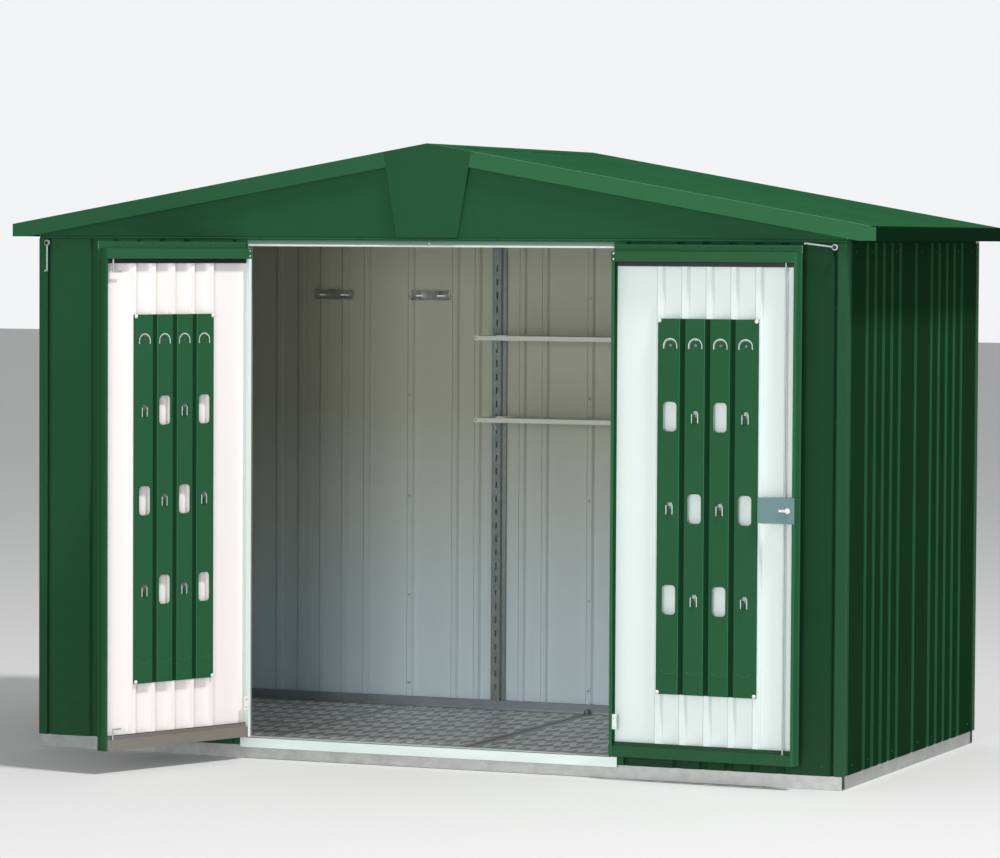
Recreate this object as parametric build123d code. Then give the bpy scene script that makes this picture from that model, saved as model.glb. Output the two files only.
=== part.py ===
from build123d import *
import math
import os

os.makedirs("parts", exist_ok=True)

# Frame of the shed: origin at ground level in the middle of the footprint,
# +X to the right seen from the front, +Y to the back, +Z up, millimetres.

# Walls
MODULE = 720.0
FRONT_MODULES = 4
SIDE_MODULES = 2
POST = 32.0
BASE_H = 45.0
HEADER_BOTTOM = 1750.0
HEAD_RAIL_H = 22.0
HEADER_H = 11.0
HEADER_RECESS = 4.0
HEADER_LIP_BOTTOM = HEADER_BOTTOM + HEAD_RAIL_H
GABLE_BASE = HEADER_LIP_BOTTOM + HEADER_H
WALL_WIDTH = FRONT_MODULES * MODULE + 2 * POST
WALL_DEPTH = SIDE_MODULES * MODULE + 2 * POST
HALF_W = WALL_WIDTH / 2
HALF_D = WALL_DEPTH / 2

# Folded sheet and its ribs, which stand towards the inside
SHEET = 1.0
RIB_DEPTH = 12.0
RIB_BASE = 30.0
RIB_CREST = 16.0
RIB_PITCH = MODULE / 8
RIBS_PER_MODULE = 5
SEAT = 0.0
CLEAR = 5.0

# Base frame, floor and bottom track
BASE_W = 32.0
BASE_INSET = 6.0
TUBE_WALL = 1.5
JOIST_W = 40.0
FLOOR_TOP = BASE_H - 7.0
FLOOR_T = 2.0
TRACK_TOP = BASE_H + 25.0
TRACK_D = 26.0

# Roof: its height follows from the gable's low edge and the slope
SLOPE = 0.1747
ALPHA = math.atan(SLOPE)
ROOF_RIB_DEPTH = 8.0
TRIM = 1.0
GABLE_INSET = 2.0
GABLE_EDGE_H = 47.0
ROOF_OVER_SIDE = 99.0
ROOF_OVER_END = 12.0
ROOF_HALF_W = HALF_W + ROOF_OVER_SIDE
ROOF_HALF_D = HALF_D + ROOF_OVER_END
ROOF_UNDER = (ROOF_RIB_DEPTH + SHEET + SEAT) / math.cos(ALPHA)
SHEET_APEX = GABLE_BASE + GABLE_EDGE_H + SLOPE * (HALF_W - GABLE_INSET) + ROOF_UNDER
RIDGE_TOP = SHEET_APEX + (TRIM + SEAT) / math.cos(ALPHA)
VERGE_H = 54.0
VERGE_FLANGE = 25.0
EAVE_H = 43.5
EAVE_BOTTOM = RIDGE_TOP - SLOPE * ROOF_HALF_W - EAVE_H
RIDGE_CAP_HALF = 80.0
RIDGE_BEAM_W = 40.0
RIDGE_BEAM_H = 30.0
PLATE_HALF_BOTTOM = 111.0
PLATE_HALF_TOP = 160.0
PLATE_BOTTOM = GABLE_BASE - 1.0
SIDE_RAIL_W = 40.0

# Doorway
JAMB_W = 44.0
JAMB_OUT = MODULE - 8.0
JAMB_IN = JAMB_OUT - JAMB_W
JAMB_D = 40.0
SILL_TOP = BASE_H + 27.0
SILL_LIP_HALF = JAMB_IN + JAMB_W / 2
SILL_LIP_T = 5.0
SILL_LIP_BOTTOM = BASE_H - 7.0

# Door leaves, in coordinates of their own hinge axis:
# s along the closed leaf, d from the axis towards the inside
AXIS_OUT = 8.0
LEFT_DEGREES = 112.0
RIGHT_DEGREES = 178.0
LEAF_D = 5.0
LEAF_T = 28.0
LEAF_S0 = 8.0
LEAF_END = JAMB_IN - 3.0
LEAF_BOTTOM = SILL_TOP + CLEAR + 1.0
LEAF_TOP = HEADER_LIP_BOTTOM - CLEAR - 3.0
LEAF_FLATS = 55.0
LEAF_RIB_PITCH = (LEAF_END - LEAF_S0 - LEAF_FLATS) / 7
LEAF_RIB_MID = (LEAF_S0 + LEAF_END) / 2 + 9.5
LEAF_FLANGE_H = 23.0
FLANGE_END_GAP = 3.0
RAIL_TOP = LEAF_TOP - LEAF_FLANGE_H
TOP_RAIL_H = 34.0
BOTTOM_BOX_TOP = LEAF_BOTTOM + 35.0
BOTTOM_RAIL_TOP = BOTTOM_BOX_TOP + 11.0
STILE_W = 11.0
FREE_STILE_OUT = LEAF_END - 9.0
KNUCKLE_R = 7.0
PIN_R = 4.0
PIN_GAP = 0.05
KNUCKLE_H = 30.0
STRAP_S0 = 2.5
TOP_KNUCKLE_Z = RAIL_TOP - KNUCKLE_H - 2.0
BOTTOM_KNUCKLE_Z = LEAF_BOTTOM + 4.0
LUG_T = 3.0
LUG_GAP = 0.5

# Tool panels on the leaves
PANEL_COLUMNS = 4
COLUMN_PITCH = LEAF_RIB_PITCH + 2.0
PANEL_W = PANEL_COLUMNS * COLUMN_PITCH
PANEL_BOTTOM = LEAF_BOTTOM + 214.0
PANEL_TOP = RAIL_TOP - 219.0
PANEL_T = 1.2
PANEL_OUT = 7.0
ROW_MID = (PANEL_BOTTOM + PANEL_TOP) / 2 - 5.0
ROW_PITCH = 300.0
SLOT_W = 47.0
SLOT_H = 97.0
SLOT_CORNER = 13.0

# Lock, rods and bolts
ROD_R = 3.0
ROD_HOLE_R = 4.0
ROD_HOLE_SPACE = 3.0
ROD_S = LEAF_END - 49.0
ROD_D = 25.0
LEVER_S = LEAF_END - 33.0
LEVER_Z = ROW_MID + 4.0
LOCK_S1 = LEAF_END - 11.0
LOCK_S0 = LOCK_S1 - 127.0
LOCK_H = 84.0
LOCK_Z0 = LEVER_Z - LOCK_H / 2
LOCK_Z1 = LEVER_Z + LOCK_H / 2
LOCK_PLATE_T = 2.5
LOCK_CASE_W = 44.0
SPINDLE_R = 5.0
GRIP_OUT = 20.0
GRIP_H = 110.0
GRIP_W = 18.0
GRIP_T = 8.0
ROSE_R = 16.0
BOLT_HANDLE = 36.0
TOP_BOLT_LOW = RAIL_TOP - 79.0
LOW_BOLT_TOP = LEAF_BOTTOM + 72.0

# Stays
STAY_WIRE_R = 3.0
STAY_LEN = 100.0
STAY_EYE_R = 10.0
STAY_Z = HEADER_LIP_BOTTOM - 14.4
STAY_X = HALF_W - 38.0
STAY_OUT = 14.0
STAY_PIN_R = 4.0
STAY_PLATE_W = 30.0
STAY_PLATE_H = 22.0
STAY_PLATE_T = 2.0

# Shelves
BACK_SHIFT = 3.0
SHELF_RAIL_SPAN = MODULE
SHELF_RAIL_WEB = 30.0
SHELF_RAIL_D = 25.0
SHELF_RAIL_FLANGE = 14.0
SHELF_RAIL_TOP = HEADER_LIP_BOTTOM - 27.0
SHELF_TOPS = (1426.0, 1126.0)
SHELF_SLOT_PITCH = 50.0
SHELF_SLOT_W = 6.0
SHELF_SLOT_H = 22.0
SHELF_BAR_H = 16.0
SHELF_BAR_T = 3.0
SHELF_BAR_OVER = 10.0
SHELF_DEPTH = 190.0
SHELF_LIP = 15.0
BOARD_LEFT = BACK_SHIFT - 3 * MODULE / 8

# Tool hangers on the back wall
HANGER_Z = 1567.0
HANGER_W = 156.0
HANGER_H = 34.0
HANGER_T = 3.0
PRONG_R = 4.0
PRONG_LEN = 46.0
PRONG_SPACE = 86.0
HANGER_XS = (50.0 - 3 * MODULE / 2, 84.0 - MODULE)

# The channel over and under the doorway that the rods and bolts run into
BOLT_Y = -HALF_D - AXIS_OUT + ROD_D
BOLT_FRONT = BOLT_Y - ROD_R - ROD_HOLE_SPACE
BOLT_BACK = BOLT_Y + ROD_R + ROD_HOLE_SPACE
HEAD_RAIL_FRONT = -HALF_D - AXIS_OUT + LEAF_D + 2 * SHEET + CLEAR

CREST_IN = RIB_DEPTH + SHEET


def block(x0, x1, y0, y1, z0, z1):
    """A box between two corners."""
    low = (min(x0, x1), min(y0, y1), min(z0, z1))
    return Pos(*low) * Box(abs(x1 - x0), abs(y1 - y0), abs(z1 - z0), align=(Align.MIN,) * 3)


def roof_z(x):
    """Height of the roof sheet's top face over the line at x."""
    return SHEET_APEX - SLOPE * abs(x)


def prism_xz(points, y0, y1):
    """A flat outline in X and Z, given its thickness from y0 to y1."""
    outline = Plane.XZ * make_face(Polyline(*points, close=True))
    return Pos(0, y1, 0) * extrude(outline, abs(y1 - y0))


def prism_yz(points, x0, x1):
    """A flat outline in Y and Z, drawn out from x0 to x1."""
    outline = Plane.YZ * make_face(Polyline(*points, close=True))
    return Pos(x0, 0, 0) * extrude(outline, x1 - x0)


def tube(x0, x1, y0, y1, z0, z1, along):
    """A square tube: a box with a hollow that runs along one direction."""
    inner = [[x0 + TUBE_WALL, x1 - TUBE_WALL], [y0 + TUBE_WALL, y1 - TUBE_WALL], [z0 + TUBE_WALL, z1 - TUBE_WALL]]
    full = [[x0, x1], [y0, y1], [z0, z1]]
    inner[along] = [full[along][0] - 1, full[along][1] + 1]
    return block(x0, x1, y0, y1, z0, z1) - block(*inner[0], *inner[1], *inner[2])


def ribbed_outline(start, end, ribs, depth):
    """Section of a ribbed sheet in u and v: v is 0 outside and grows inwards."""
    rise = math.atan2(depth, (RIB_BASE - RIB_CREST) / 2)
    lean = SHEET * math.tan(rise / 2)
    outer = [(start, 0)]
    inner = [(start, SHEET)]
    for mid in ribs:
        foot = RIB_BASE / 2
        head = RIB_CREST / 2
        outer += [(mid - foot, 0), (mid - head, depth), (mid + head, depth), (mid + foot, 0)]
        inner += [(mid - foot - lean, SHEET), (mid - head - lean, depth + SHEET)]
        inner += [(mid + head + lean, depth + SHEET), (mid + foot + lean, SHEET)]
    outer.append((end, 0))
    inner.append((end, SHEET))
    return outer + inner[::-1]


def hemmed_outline(start, end, ribs, depth):
    """A ribbed section whose two ends stand in by half a rib, at the crest."""
    rise = math.atan2(depth, (RIB_BASE - RIB_CREST) / 2)
    lean = SHEET * math.tan(rise / 2)
    head = RIB_CREST / 2
    foot = RIB_BASE / 2
    middle = ribbed_outline(start + foot, end - foot, ribs, depth)
    count = len(middle) // 2
    outer = [(start, depth), (start + head, depth)] + middle[:count] + [(end - head, depth), (end, depth)]
    inner = [(end, depth + SHEET), (end - head - lean, depth + SHEET)]
    body = middle[count:]
    body[0] = (end - foot - lean, SHEET)
    body[-1] = (start + foot + lean, SHEET)
    return outer + inner + body + [(start + head + lean, depth + SHEET), (start, depth + SHEET)]


def module_ribs(start, modules):
    """Rib centres of a run of modules, with a rib at each joint between two."""
    ribs = []
    for number in range(modules):
        mid = start + (number + 0.5) * MODULE
        if number:
            ribs.append(start + number * MODULE)
        for rib in range(RIBS_PER_MODULE):
            ribs.append(mid + (rib - (RIBS_PER_MODULE - 1) / 2) * RIB_PITCH)
    return ribs


def upright(outline, z0, z1):
    """A plan outline raised from z0 to z1."""
    face = make_face(Polyline(*outline, close=True))
    return Pos(0, 0, z0) * extrude(face, z1 - z0)


def save(name, *solids):
    """Write one named piece, as one or more solids that don't touch."""
    shape = solids[0] if len(solids) == 1 else Compound(children=list(solids))
    export_step(shape, "parts/" + name + ".step")


def both(make):
    """The same piece on the left and on the right."""
    return [make(-1), make(1)]


def base_frame():
    out_x = HALF_W - BASE_INSET
    out_y = HALF_D - BASE_INSET
    solids = []
    for side in (-1, 1):
        y0, y1 = sorted((side * out_y, side * (out_y - BASE_W)))
        solids.append(tube(-out_x, out_x, y0, y1, 0, BASE_H, 0))
        x0, x1 = sorted((side * out_x, side * (out_x - BASE_W)))
        solids.append(tube(x0, x1, -out_y + BASE_W + SEAT, out_y - BASE_W - SEAT, 0, BASE_H, 1))
    for number in range(1, FRONT_MODULES):
        x = (number - FRONT_MODULES / 2) * MODULE
        joist = tube(x - JOIST_W / 2, x + JOIST_W / 2, -out_y + BASE_W + SEAT, out_y - BASE_W - SEAT,
                     0, FLOOR_TOP - FLOOR_T, 1)
        solids.append(joist)
    return solids


def floor_plates():
    in_x = HALF_W - BASE_INSET - BASE_W - SEAT
    in_y = HALF_D - BASE_INSET - BASE_W - SEAT
    solids = []
    for number in range(FRONT_MODULES):
        x0 = max((number - FRONT_MODULES / 2) * MODULE + SEAT, -in_x)
        x1 = min((number + 1 - FRONT_MODULES / 2) * MODULE - SEAT, in_x)
        if number == 0:
            x0 = -in_x
        if number == FRONT_MODULES - 1:
            x1 = in_x
        solids.append(block(x0, x1, -in_y, in_y, FLOOR_TOP - FLOOR_T, FLOOR_TOP))
    return solids


def bottom_track():
    crest_y = HALF_D - CREST_IN - SEAT
    crest_x = HALF_W - CREST_IN - SEAT
    inner_x = HALF_W - POST
    low = BASE_H + SEAT
    rear = block(-inner_x, inner_x, crest_y - TRACK_D, crest_y, low, TRACK_TOP)
    solids = [rear]
    for side in (-1, 1):
        solids.append(block(side * (crest_x - TRACK_D), side * crest_x, -crest_y + TRACK_D + SEAT,
                            crest_y - TRACK_D - SEAT, low, TRACK_TOP))
        solids.append(block(side * (JAMB_OUT + SEAT), side * inner_x, -crest_y, -crest_y + TRACK_D, low, TRACK_TOP))
    return solids


def corner_posts():
    solids = []
    for sx in (-1, 1):
        for sy in (-1, 1):
            x0, x1 = sorted((sx * HALF_W, sx * (HALF_W - POST)))
            y0, y1 = sorted((sy * HALF_D, sy * (HALF_D - POST)))
            solids.append(tube(x0, x1, y0, y1, BASE_H + SEAT, HEADER_LIP_BOTTOM - SEAT, 2))
    return solids


def front_wall(side):
    start = JAMB_OUT + SEAT
    end = HALF_W - POST - SEAT
    mid = HALF_W - POST - MODULE / 2
    ribs = [mid + (rib - (RIBS_PER_MODULE - 1) / 2) * RIB_PITCH for rib in range(RIBS_PER_MODULE)]
    points = [(side * u, -HALF_D + v) for u, v in hemmed_outline(start, end, ribs, RIB_DEPTH)]
    return upright(points, BASE_H, HEADER_LIP_BOTTOM - SEAT)


def rear_wall():
    end = HALF_W - POST - SEAT
    ribs = [rib + BACK_SHIFT for rib in module_ribs(-FRONT_MODULES * MODULE / 2, FRONT_MODULES)]
    points = [(u, HALF_D - v) for u, v in hemmed_outline(-end, end, ribs, RIB_DEPTH)]
    return upright(points, BASE_H, HEADER_LIP_BOTTOM - SEAT)


def side_wall(side):
    end = HALF_D - POST - SEAT
    ribs = module_ribs(-SIDE_MODULES * MODULE / 2, SIDE_MODULES)
    points = [(side * (HALF_W - v), u) for u, v in hemmed_outline(-end, end, ribs, RIB_DEPTH)]
    return upright(points, BASE_H, HEADER_LIP_BOTTOM - SEAT)


def door_jambs():
    return both(lambda side: tube(*sorted((side * JAMB_IN, side * JAMB_OUT)), -HALF_D, -HALF_D + JAMB_D,
                                  BASE_H + SEAT, HEADER_LIP_BOTTOM - SEAT, 2))


def front_header():
    """The strip over the whole front wall and its doorway, set back under the gable."""
    return block(-HALF_W, HALF_W, -HALF_D + HEADER_RECESS, -HALF_D + JAMB_D, HEADER_LIP_BOTTOM, GABLE_BASE)


def head_rail():
    """The bar over the doorway, behind the closed leaves' flanges and before their bolts."""
    return block(-JAMB_IN, JAMB_IN, HEAD_RAIL_FRONT, BOLT_FRONT, HEADER_BOTTOM, HEADER_LIP_BOTTOM)


def head_beam():
    """The beam behind the bolts' channel."""
    return block(-JAMB_IN, JAMB_IN, BOLT_BACK, -HALF_D + JAMB_D, HEADER_BOTTOM, HEADER_LIP_BOTTOM)


def door_sill():
    """The sill bar, with a lip that hangs in front of the base frame."""
    body = block(-JAMB_IN, JAMB_IN, -HALF_D - SILL_LIP_T, BOLT_FRONT, BASE_H, SILL_TOP)
    lip = block(-SILL_LIP_HALF, SILL_LIP_HALF, -HALF_D - SILL_LIP_T, -HALF_D, SILL_LIP_BOTTOM, SILL_TOP)
    return body + lip


def sill_strip():
    """The strip behind the slot that the lower bolts run into."""
    return block(-JAMB_IN, JAMB_IN, BOLT_BACK, -HALF_D + JAMB_D, BASE_H, SILL_TOP)


def gable(side):
    front = HALF_D - GABLE_INSET
    under = ROOF_UNDER
    low = GABLE_BASE + SEAT
    edge = HALF_W - GABLE_INSET
    points = [(-edge, low), (edge, low), (edge, roof_z(edge) - under), (0, roof_z(0) - under),
              (-edge, roof_z(edge) - under)]
    y0, y1 = sorted((side * front, side * (front - SHEET)))
    return prism_xz(points, y0, y1)


def gable_plate(side):
    """The flared plate in the middle of a gable, level with the verges."""
    face = side * ROOF_HALF_D
    back = side * (HALF_D - GABLE_INSET + SEAT)
    top = roof_z(PLATE_HALF_TOP) + (TRIM + SEAT) / math.cos(ALPHA)
    outline = [(-PLATE_HALF_BOTTOM, PLATE_BOTTOM), (PLATE_HALF_BOTTOM, PLATE_BOTTOM), (PLATE_HALF_TOP, top),
               (0, RIDGE_TOP), (-PLATE_HALF_TOP, top)]
    sheet = prism_xz(outline, *sorted((face, face - side * TRIM)))
    solids = sheet
    for hand in (-1, 1):
        fold = [(hand * PLATE_HALF_BOTTOM, GABLE_BASE + 2 * SEAT), (hand * (PLATE_HALF_BOTTOM - TRIM), GABLE_BASE + 2 * SEAT),
                (hand * (PLATE_HALF_TOP - 7 * TRIM), roof_z(PLATE_HALF_TOP) - ROOF_UNDER),
                (hand * (PLATE_HALF_TOP - 6 * TRIM), roof_z(PLATE_HALF_TOP) - ROOF_UNDER)]
        solids += prism_xz(fold, *sorted((face, back)))
        cap = [(0, RIDGE_TOP), (0, RIDGE_TOP - TRIM / math.cos(ALPHA)),
               (hand * PLATE_HALF_TOP, top - TRIM / math.cos(ALPHA)), (hand * PLATE_HALF_TOP, top)]
        solids += prism_xz(cap, *sorted((face, face - side * VERGE_FLANGE)))
    return solids


def verges(side):
    """The sloping edge trims of one gable, left and right of its middle plate."""
    face = side * ROOF_HALF_D
    solids = []
    rise = (TRIM + SEAT) / math.cos(ALPHA)
    inner_x = PLATE_HALF_TOP + SEAT
    lean = (PLATE_HALF_TOP - PLATE_HALF_BOTTOM) / (roof_z(PLATE_HALF_TOP) + rise - PLATE_BOTTOM)
    low_x = inner_x - lean * VERGE_H / (1 + lean * SLOPE)
    for hand in (-1, 1):
        turn_x = (roof_z(0) + rise - VERGE_H - EAVE_BOTTOM) / SLOPE
        outline = [(inner_x, roof_z(inner_x) + rise), (ROOF_HALF_W, roof_z(ROOF_HALF_W) + rise),
                   (ROOF_HALF_W, EAVE_BOTTOM), (turn_x, EAVE_BOTTOM), (low_x, roof_z(low_x) + rise - VERGE_H)]
        outline = [(hand * x, z) for x, z in outline]
        piece = prism_xz(outline, *sorted((face, face - side * TRIM)))
        end_x = ROOF_HALF_W - VERGE_FLANGE - SEAT
        cap = [(inner_x, roof_z(inner_x) + rise), (end_x, roof_z(end_x) + rise),
               (end_x, roof_z(end_x) + SEAT), (inner_x, roof_z(inner_x) + SEAT)]
        cap = [(hand * x, z) for x, z in cap]
        piece += prism_xz(cap, *sorted((face, face - side * VERGE_FLANGE)))
        foot = [(low_x, roof_z(low_x) + rise - VERGE_H), (turn_x, EAVE_BOTTOM), (turn_x, EAVE_BOTTOM + TRIM),
                (low_x, roof_z(low_x) + rise - VERGE_H + TRIM)]
        foot = [(hand * x, z) for x, z in foot]
        piece += prism_xz(foot, *sorted((face, side * (HALF_D + SEAT))))
        solids.append(piece)
    return solids


def roof_sheet(side):
    length = (ROOF_HALF_W - TRIM - SEAT - TRIM) / math.cos(ALPHA)
    half = ROOF_HALF_D - TRIM - SEAT
    ribs = module_ribs(-SIDE_MODULES * MODULE / 2, SIDE_MODULES)
    outline = [(u, -v) for u, v in ribbed_outline(-half, half, ribs, ROOF_RIB_DEPTH)]
    start = 3 * TRIM
    plane = Plane(origin=(side * start, 0, roof_z(start)), x_dir=(0, side, 0),
                  z_dir=(side * math.cos(ALPHA), 0, -math.sin(ALPHA)))
    face = plane * make_face(Polyline(*outline, close=True))
    return extrude(face, length - start)


def ridge_cap():
    rise = (TRIM + SEAT) / math.cos(ALPHA)
    gap = SEAT / math.cos(ALPHA)
    half = ROOF_HALF_D - VERGE_FLANGE - SEAT
    end = RIDGE_CAP_HALF
    outline = [(-end, roof_z(end) + gap), (0, roof_z(0) + gap), (end, roof_z(end) + gap),
               (end, roof_z(end) + rise), (0, roof_z(0) + rise), (-end, roof_z(end) + rise)]
    return prism_xz(outline, -half, half)


def ridge_beam():
    top = roof_z(RIDGE_BEAM_W / 2) - ROOF_UNDER
    half = HALF_D - GABLE_INSET - SHEET - SEAT
    return tube(-RIDGE_BEAM_W / 2, RIDGE_BEAM_W / 2, -half, half, top - RIDGE_BEAM_H, top, 1)


def eave_trims():
    solids = []
    half = ROOF_HALF_D - TRIM - SEAT
    rise = (TRIM + SEAT) / math.cos(ALPHA)
    for side in (-1, 1):
        out = ROOF_HALF_W
        back = ROOF_HALF_W - VERGE_FLANGE
        outline = [(out, EAVE_BOTTOM), (out, roof_z(out) + rise), (back, roof_z(back) + rise),
                   (back, roof_z(back) + SEAT / math.cos(ALPHA)),
                   (out - TRIM, roof_z(out - TRIM) + SEAT / math.cos(ALPHA)),
                   (out - TRIM, EAVE_BOTTOM + TRIM), (back, EAVE_BOTTOM + TRIM), (back, EAVE_BOTTOM)]
        outline = [(side * x, z) for x, z in outline]
        solids.append(prism_xz(outline, -half, half))
    return solids


def top_rails():
    """Rails on top of the two side walls and the rear wall."""
    solids = []
    top = roof_z(HALF_W) - ROOF_UNDER
    long_half = HALF_D - GABLE_INSET - SHEET - SEAT
    short_half = HALF_D - JAMB_D - SEAT
    for side in (-1, 1):
        low = block(side * (HALF_W - SIDE_RAIL_W), side * HALF_W, -short_half, short_half, HEADER_LIP_BOTTOM,
                    GABLE_BASE + SEAT)
        high = block(side * (HALF_W - SIDE_RAIL_W), side * HALF_W, -long_half, long_half, GABLE_BASE + SEAT, top)
        solids.append(low + high)
    rear = block(-HALF_W, HALF_W, HALF_D - JAMB_D, HALF_D, HEADER_LIP_BOTTOM, GABLE_BASE)
    solids.append(rear)
    return solids


def shelf_rail_mids():
    return [BACK_SHIFT + side * SHELF_RAIL_SPAN / 2 for side in (-1, 1)]


def shelf_rails():
    wall = HALF_D - CREST_IN - SEAT
    web = wall - SHELF_RAIL_D
    half = SHELF_RAIL_WEB / 2
    out = half + SHELF_RAIL_FLANGE
    solids = []
    for mid in shelf_rail_mids():
        outline = [(-out, wall), (-out, wall - SHEET), (-half, wall - SHEET), (-half, web), (half, web),
                   (half, wall - SHEET), (out, wall - SHEET), (out, wall), (half - SHEET, wall),
                   (half - SHEET, web + SHEET), (-half + SHEET, web + SHEET), (-half + SHEET, wall)]
        rail = upright([(mid + x, y) for x, y in outline], TRACK_TOP + SEAT, SHELF_RAIL_TOP)
        z = TRACK_TOP + SHELF_SLOT_PITCH
        while z < SHELF_RAIL_TOP - SHELF_SLOT_PITCH / 2:
            slot = block(mid - SHELF_SLOT_W / 2, mid + SHELF_SLOT_W / 2, web - 1, web + SHEET + 1,
                         z - SHELF_SLOT_H / 2, z + SHELF_SLOT_H / 2)
            rail -= slot
            z += SHELF_SLOT_PITCH
        solids.append(rail)
    return solids


def shelf_web_y():
    return HALF_D - CREST_IN - SEAT - SHELF_RAIL_D


def shelf_bar(top, y, over):
    """A flat bar along X with rounded ends, each with a hole."""
    left = shelf_rail_mids()[0] - over
    right = shelf_rail_mids()[1] + over
    r = SHELF_BAR_H / 2
    bar = block(left + r, right - r, y, y + SHELF_BAR_T, top - SHELF_BAR_H, top)
    for x in (left + r, right - r):
        eye = Pos(x, y, top - r) * Rot(-90, 0, 0)
        bar += eye * Cylinder(r * 1.2, SHELF_BAR_T, align=(Align.CENTER, Align.CENTER, Align.MIN))
        bar -= eye * Cylinder(r * 0.5, 3 * SHELF_BAR_T)
    return bar


def shelf_brackets(shelf_top):
    """Arms that hook into the slotted rails, with a bar along the front and the back."""
    top = shelf_top - SHEET - SEAT
    web = shelf_web_y() - SEAT
    front = web - SHELF_DEPTH
    solids = [shelf_bar(top, front - SHELF_BAR_T - SEAT, SHELF_BAR_OVER)]
    for mid in shelf_rail_mids():
        outline = [(front, top), (web, top), (web, top - 3.4 * SHELF_BAR_H), (web - SHELF_BAR_H * 2, top - SHELF_BAR_H),
                   (front, top - SHELF_BAR_H)]
        solids.append(prism_yz(outline, mid - SHELF_BAR_T / 2, mid + SHELF_BAR_T / 2))
    left = shelf_rail_mids()[0] + SHELF_BAR_T / 2 + SEAT
    right = shelf_rail_mids()[1] - SHELF_BAR_T / 2 - SEAT
    solids.append(block(left, right, web - 4 * SHELF_BAR_T, web - 3 * SHELF_BAR_T, top - SHELF_BAR_H, top))
    return solids


def shelf_board(shelf_top):
    web = shelf_web_y() - SEAT
    front = web - SHELF_DEPTH - SHELF_BAR_T - 2 * SEAT
    right = 2 * BACK_SHIFT - BOARD_LEFT
    back = web - SHELF_BAR_T
    board = block(BOARD_LEFT, right, front - SHEET, back, shelf_top - SHEET, shelf_top)
    lip = block(BOARD_LEFT, right, front - SHEET, front, shelf_top - SHELF_LIP, shelf_top)
    rear = block(BOARD_LEFT, right, back - SHEET, back, shelf_top - SHELF_LIP, shelf_top)
    return board + lip + rear


def tool_hangers():
    wall = HALF_D - CREST_IN - SEAT
    solids = []
    for x in HANGER_XS:
        plate = block(x - HANGER_W / 2, x + HANGER_W / 2, wall - HANGER_T, wall, HANGER_Z - HANGER_H / 2,
                      HANGER_Z + HANGER_H / 2)
        for hand in (-1, 1):
            prong = Pos(x + hand * PRONG_SPACE / 2, wall, HANGER_Z) * Rot(90, 0, 0)
            plate += prong * Cylinder(PRONG_R, PRONG_LEN, align=(Align.CENTER, Align.CENTER, Align.MIN))
        solids.append(plate)
    return solids


def hinge_lugs():
    """Fixed lugs on the jambs, each with an upright pin for a door knuckle."""
    solids = []
    for side in (-1, 1):
        x = side * JAMB_IN
        y = -HALF_D - AXIS_OUT
        for z in (TOP_KNUCKLE_Z, BOTTOM_KNUCKLE_Z):
            low = z - LUG_GAP - LUG_T
            disc = Cylinder(PIN_R + 2, LUG_T, align=(Align.CENTER, Align.CENTER, Align.MIN))
            arm = block(x, x + side * (PIN_R + 6), y - PIN_R / 2, -HALF_D - SEAT, low, low + LUG_T)
            pin = Cylinder(PIN_R, LUG_T + LUG_GAP + KNUCKLE_H - 2, align=(Align.CENTER, Align.CENTER, Align.MIN))
            solids.append(Pos(x, y, low) * disc + arm + Pos(x, y, low) * pin)
    return solids


def stay_pins():
    """Plates on the front posts, each with a headed pin that a door stay turns on."""
    solids = []
    for side in (-1, 1):
        reach = STAY_OUT + STAY_WIRE_R + 2
        mid = side * (STAY_X + 8)
        plate = block(mid - STAY_PLATE_W / 2, mid + STAY_PLATE_W / 2, -HALF_D - STAY_PLATE_T, -HALF_D,
                      STAY_Z - STAY_PLATE_H / 2, STAY_Z + STAY_PLATE_H / 2)
        pin = Pos(side * STAY_X, -HALF_D - 1, STAY_Z) * Rot(90, 0, 0) * Cylinder(
            STAY_PIN_R, reach - 1, align=(Align.CENTER, Align.CENTER, Align.MIN))
        head = Pos(side * STAY_X, -HALF_D - reach, STAY_Z) * Rot(90, 0, 0) * Cylinder(
            STAY_PIN_R + 3, 2, align=(Align.CENTER, Align.CENTER, Align.MIN))
        solids.append(plate + pin + head)
    return solids


# Leaf pieces are made closed, with s along +X and d along +Y from the hinge axis.

def leaf_skin(locked):
    ribs = [LEAF_RIB_MID + (rib - (RIBS_PER_MODULE - 1) / 2) * LEAF_RIB_PITCH for rib in range(RIBS_PER_MODULE)]
    outline = [(u, LEAF_D + v) for u, v in ribbed_outline(LEAF_S0, LEAF_END, ribs, RIB_DEPTH)]
    rib_end = RAIL_TOP - SHEET
    skin = upright(outline, LEAF_BOTTOM, rib_end)
    skin += block(LEAF_S0, LEAF_END, LEAF_D, LEAF_D + SHEET, rib_end, LEAF_TOP)
    if locked:
        skin -= Pos(LEVER_S, 0, LEVER_Z) * Rot(-90, 0, 0) * Cylinder(SPINDLE_R + ROD_HOLE_SPACE, 4 * LEAF_T)
    return [skin]


def leaf_crest():
    return LEAF_D + CREST_IN + SEAT


def leaf_front():
    return LEAF_D + LEAF_T


def rail_s():
    return LEAF_S0 + STILE_W + SEAT, FREE_STILE_OUT - STILE_W - SEAT


def rod_cut(z0, z1, s):
    return Pos(s, ROD_D, z0) * Cylinder(ROD_HOLE_R, z1 - z0, align=(Align.CENTER, Align.CENTER, Align.MIN))


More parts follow.
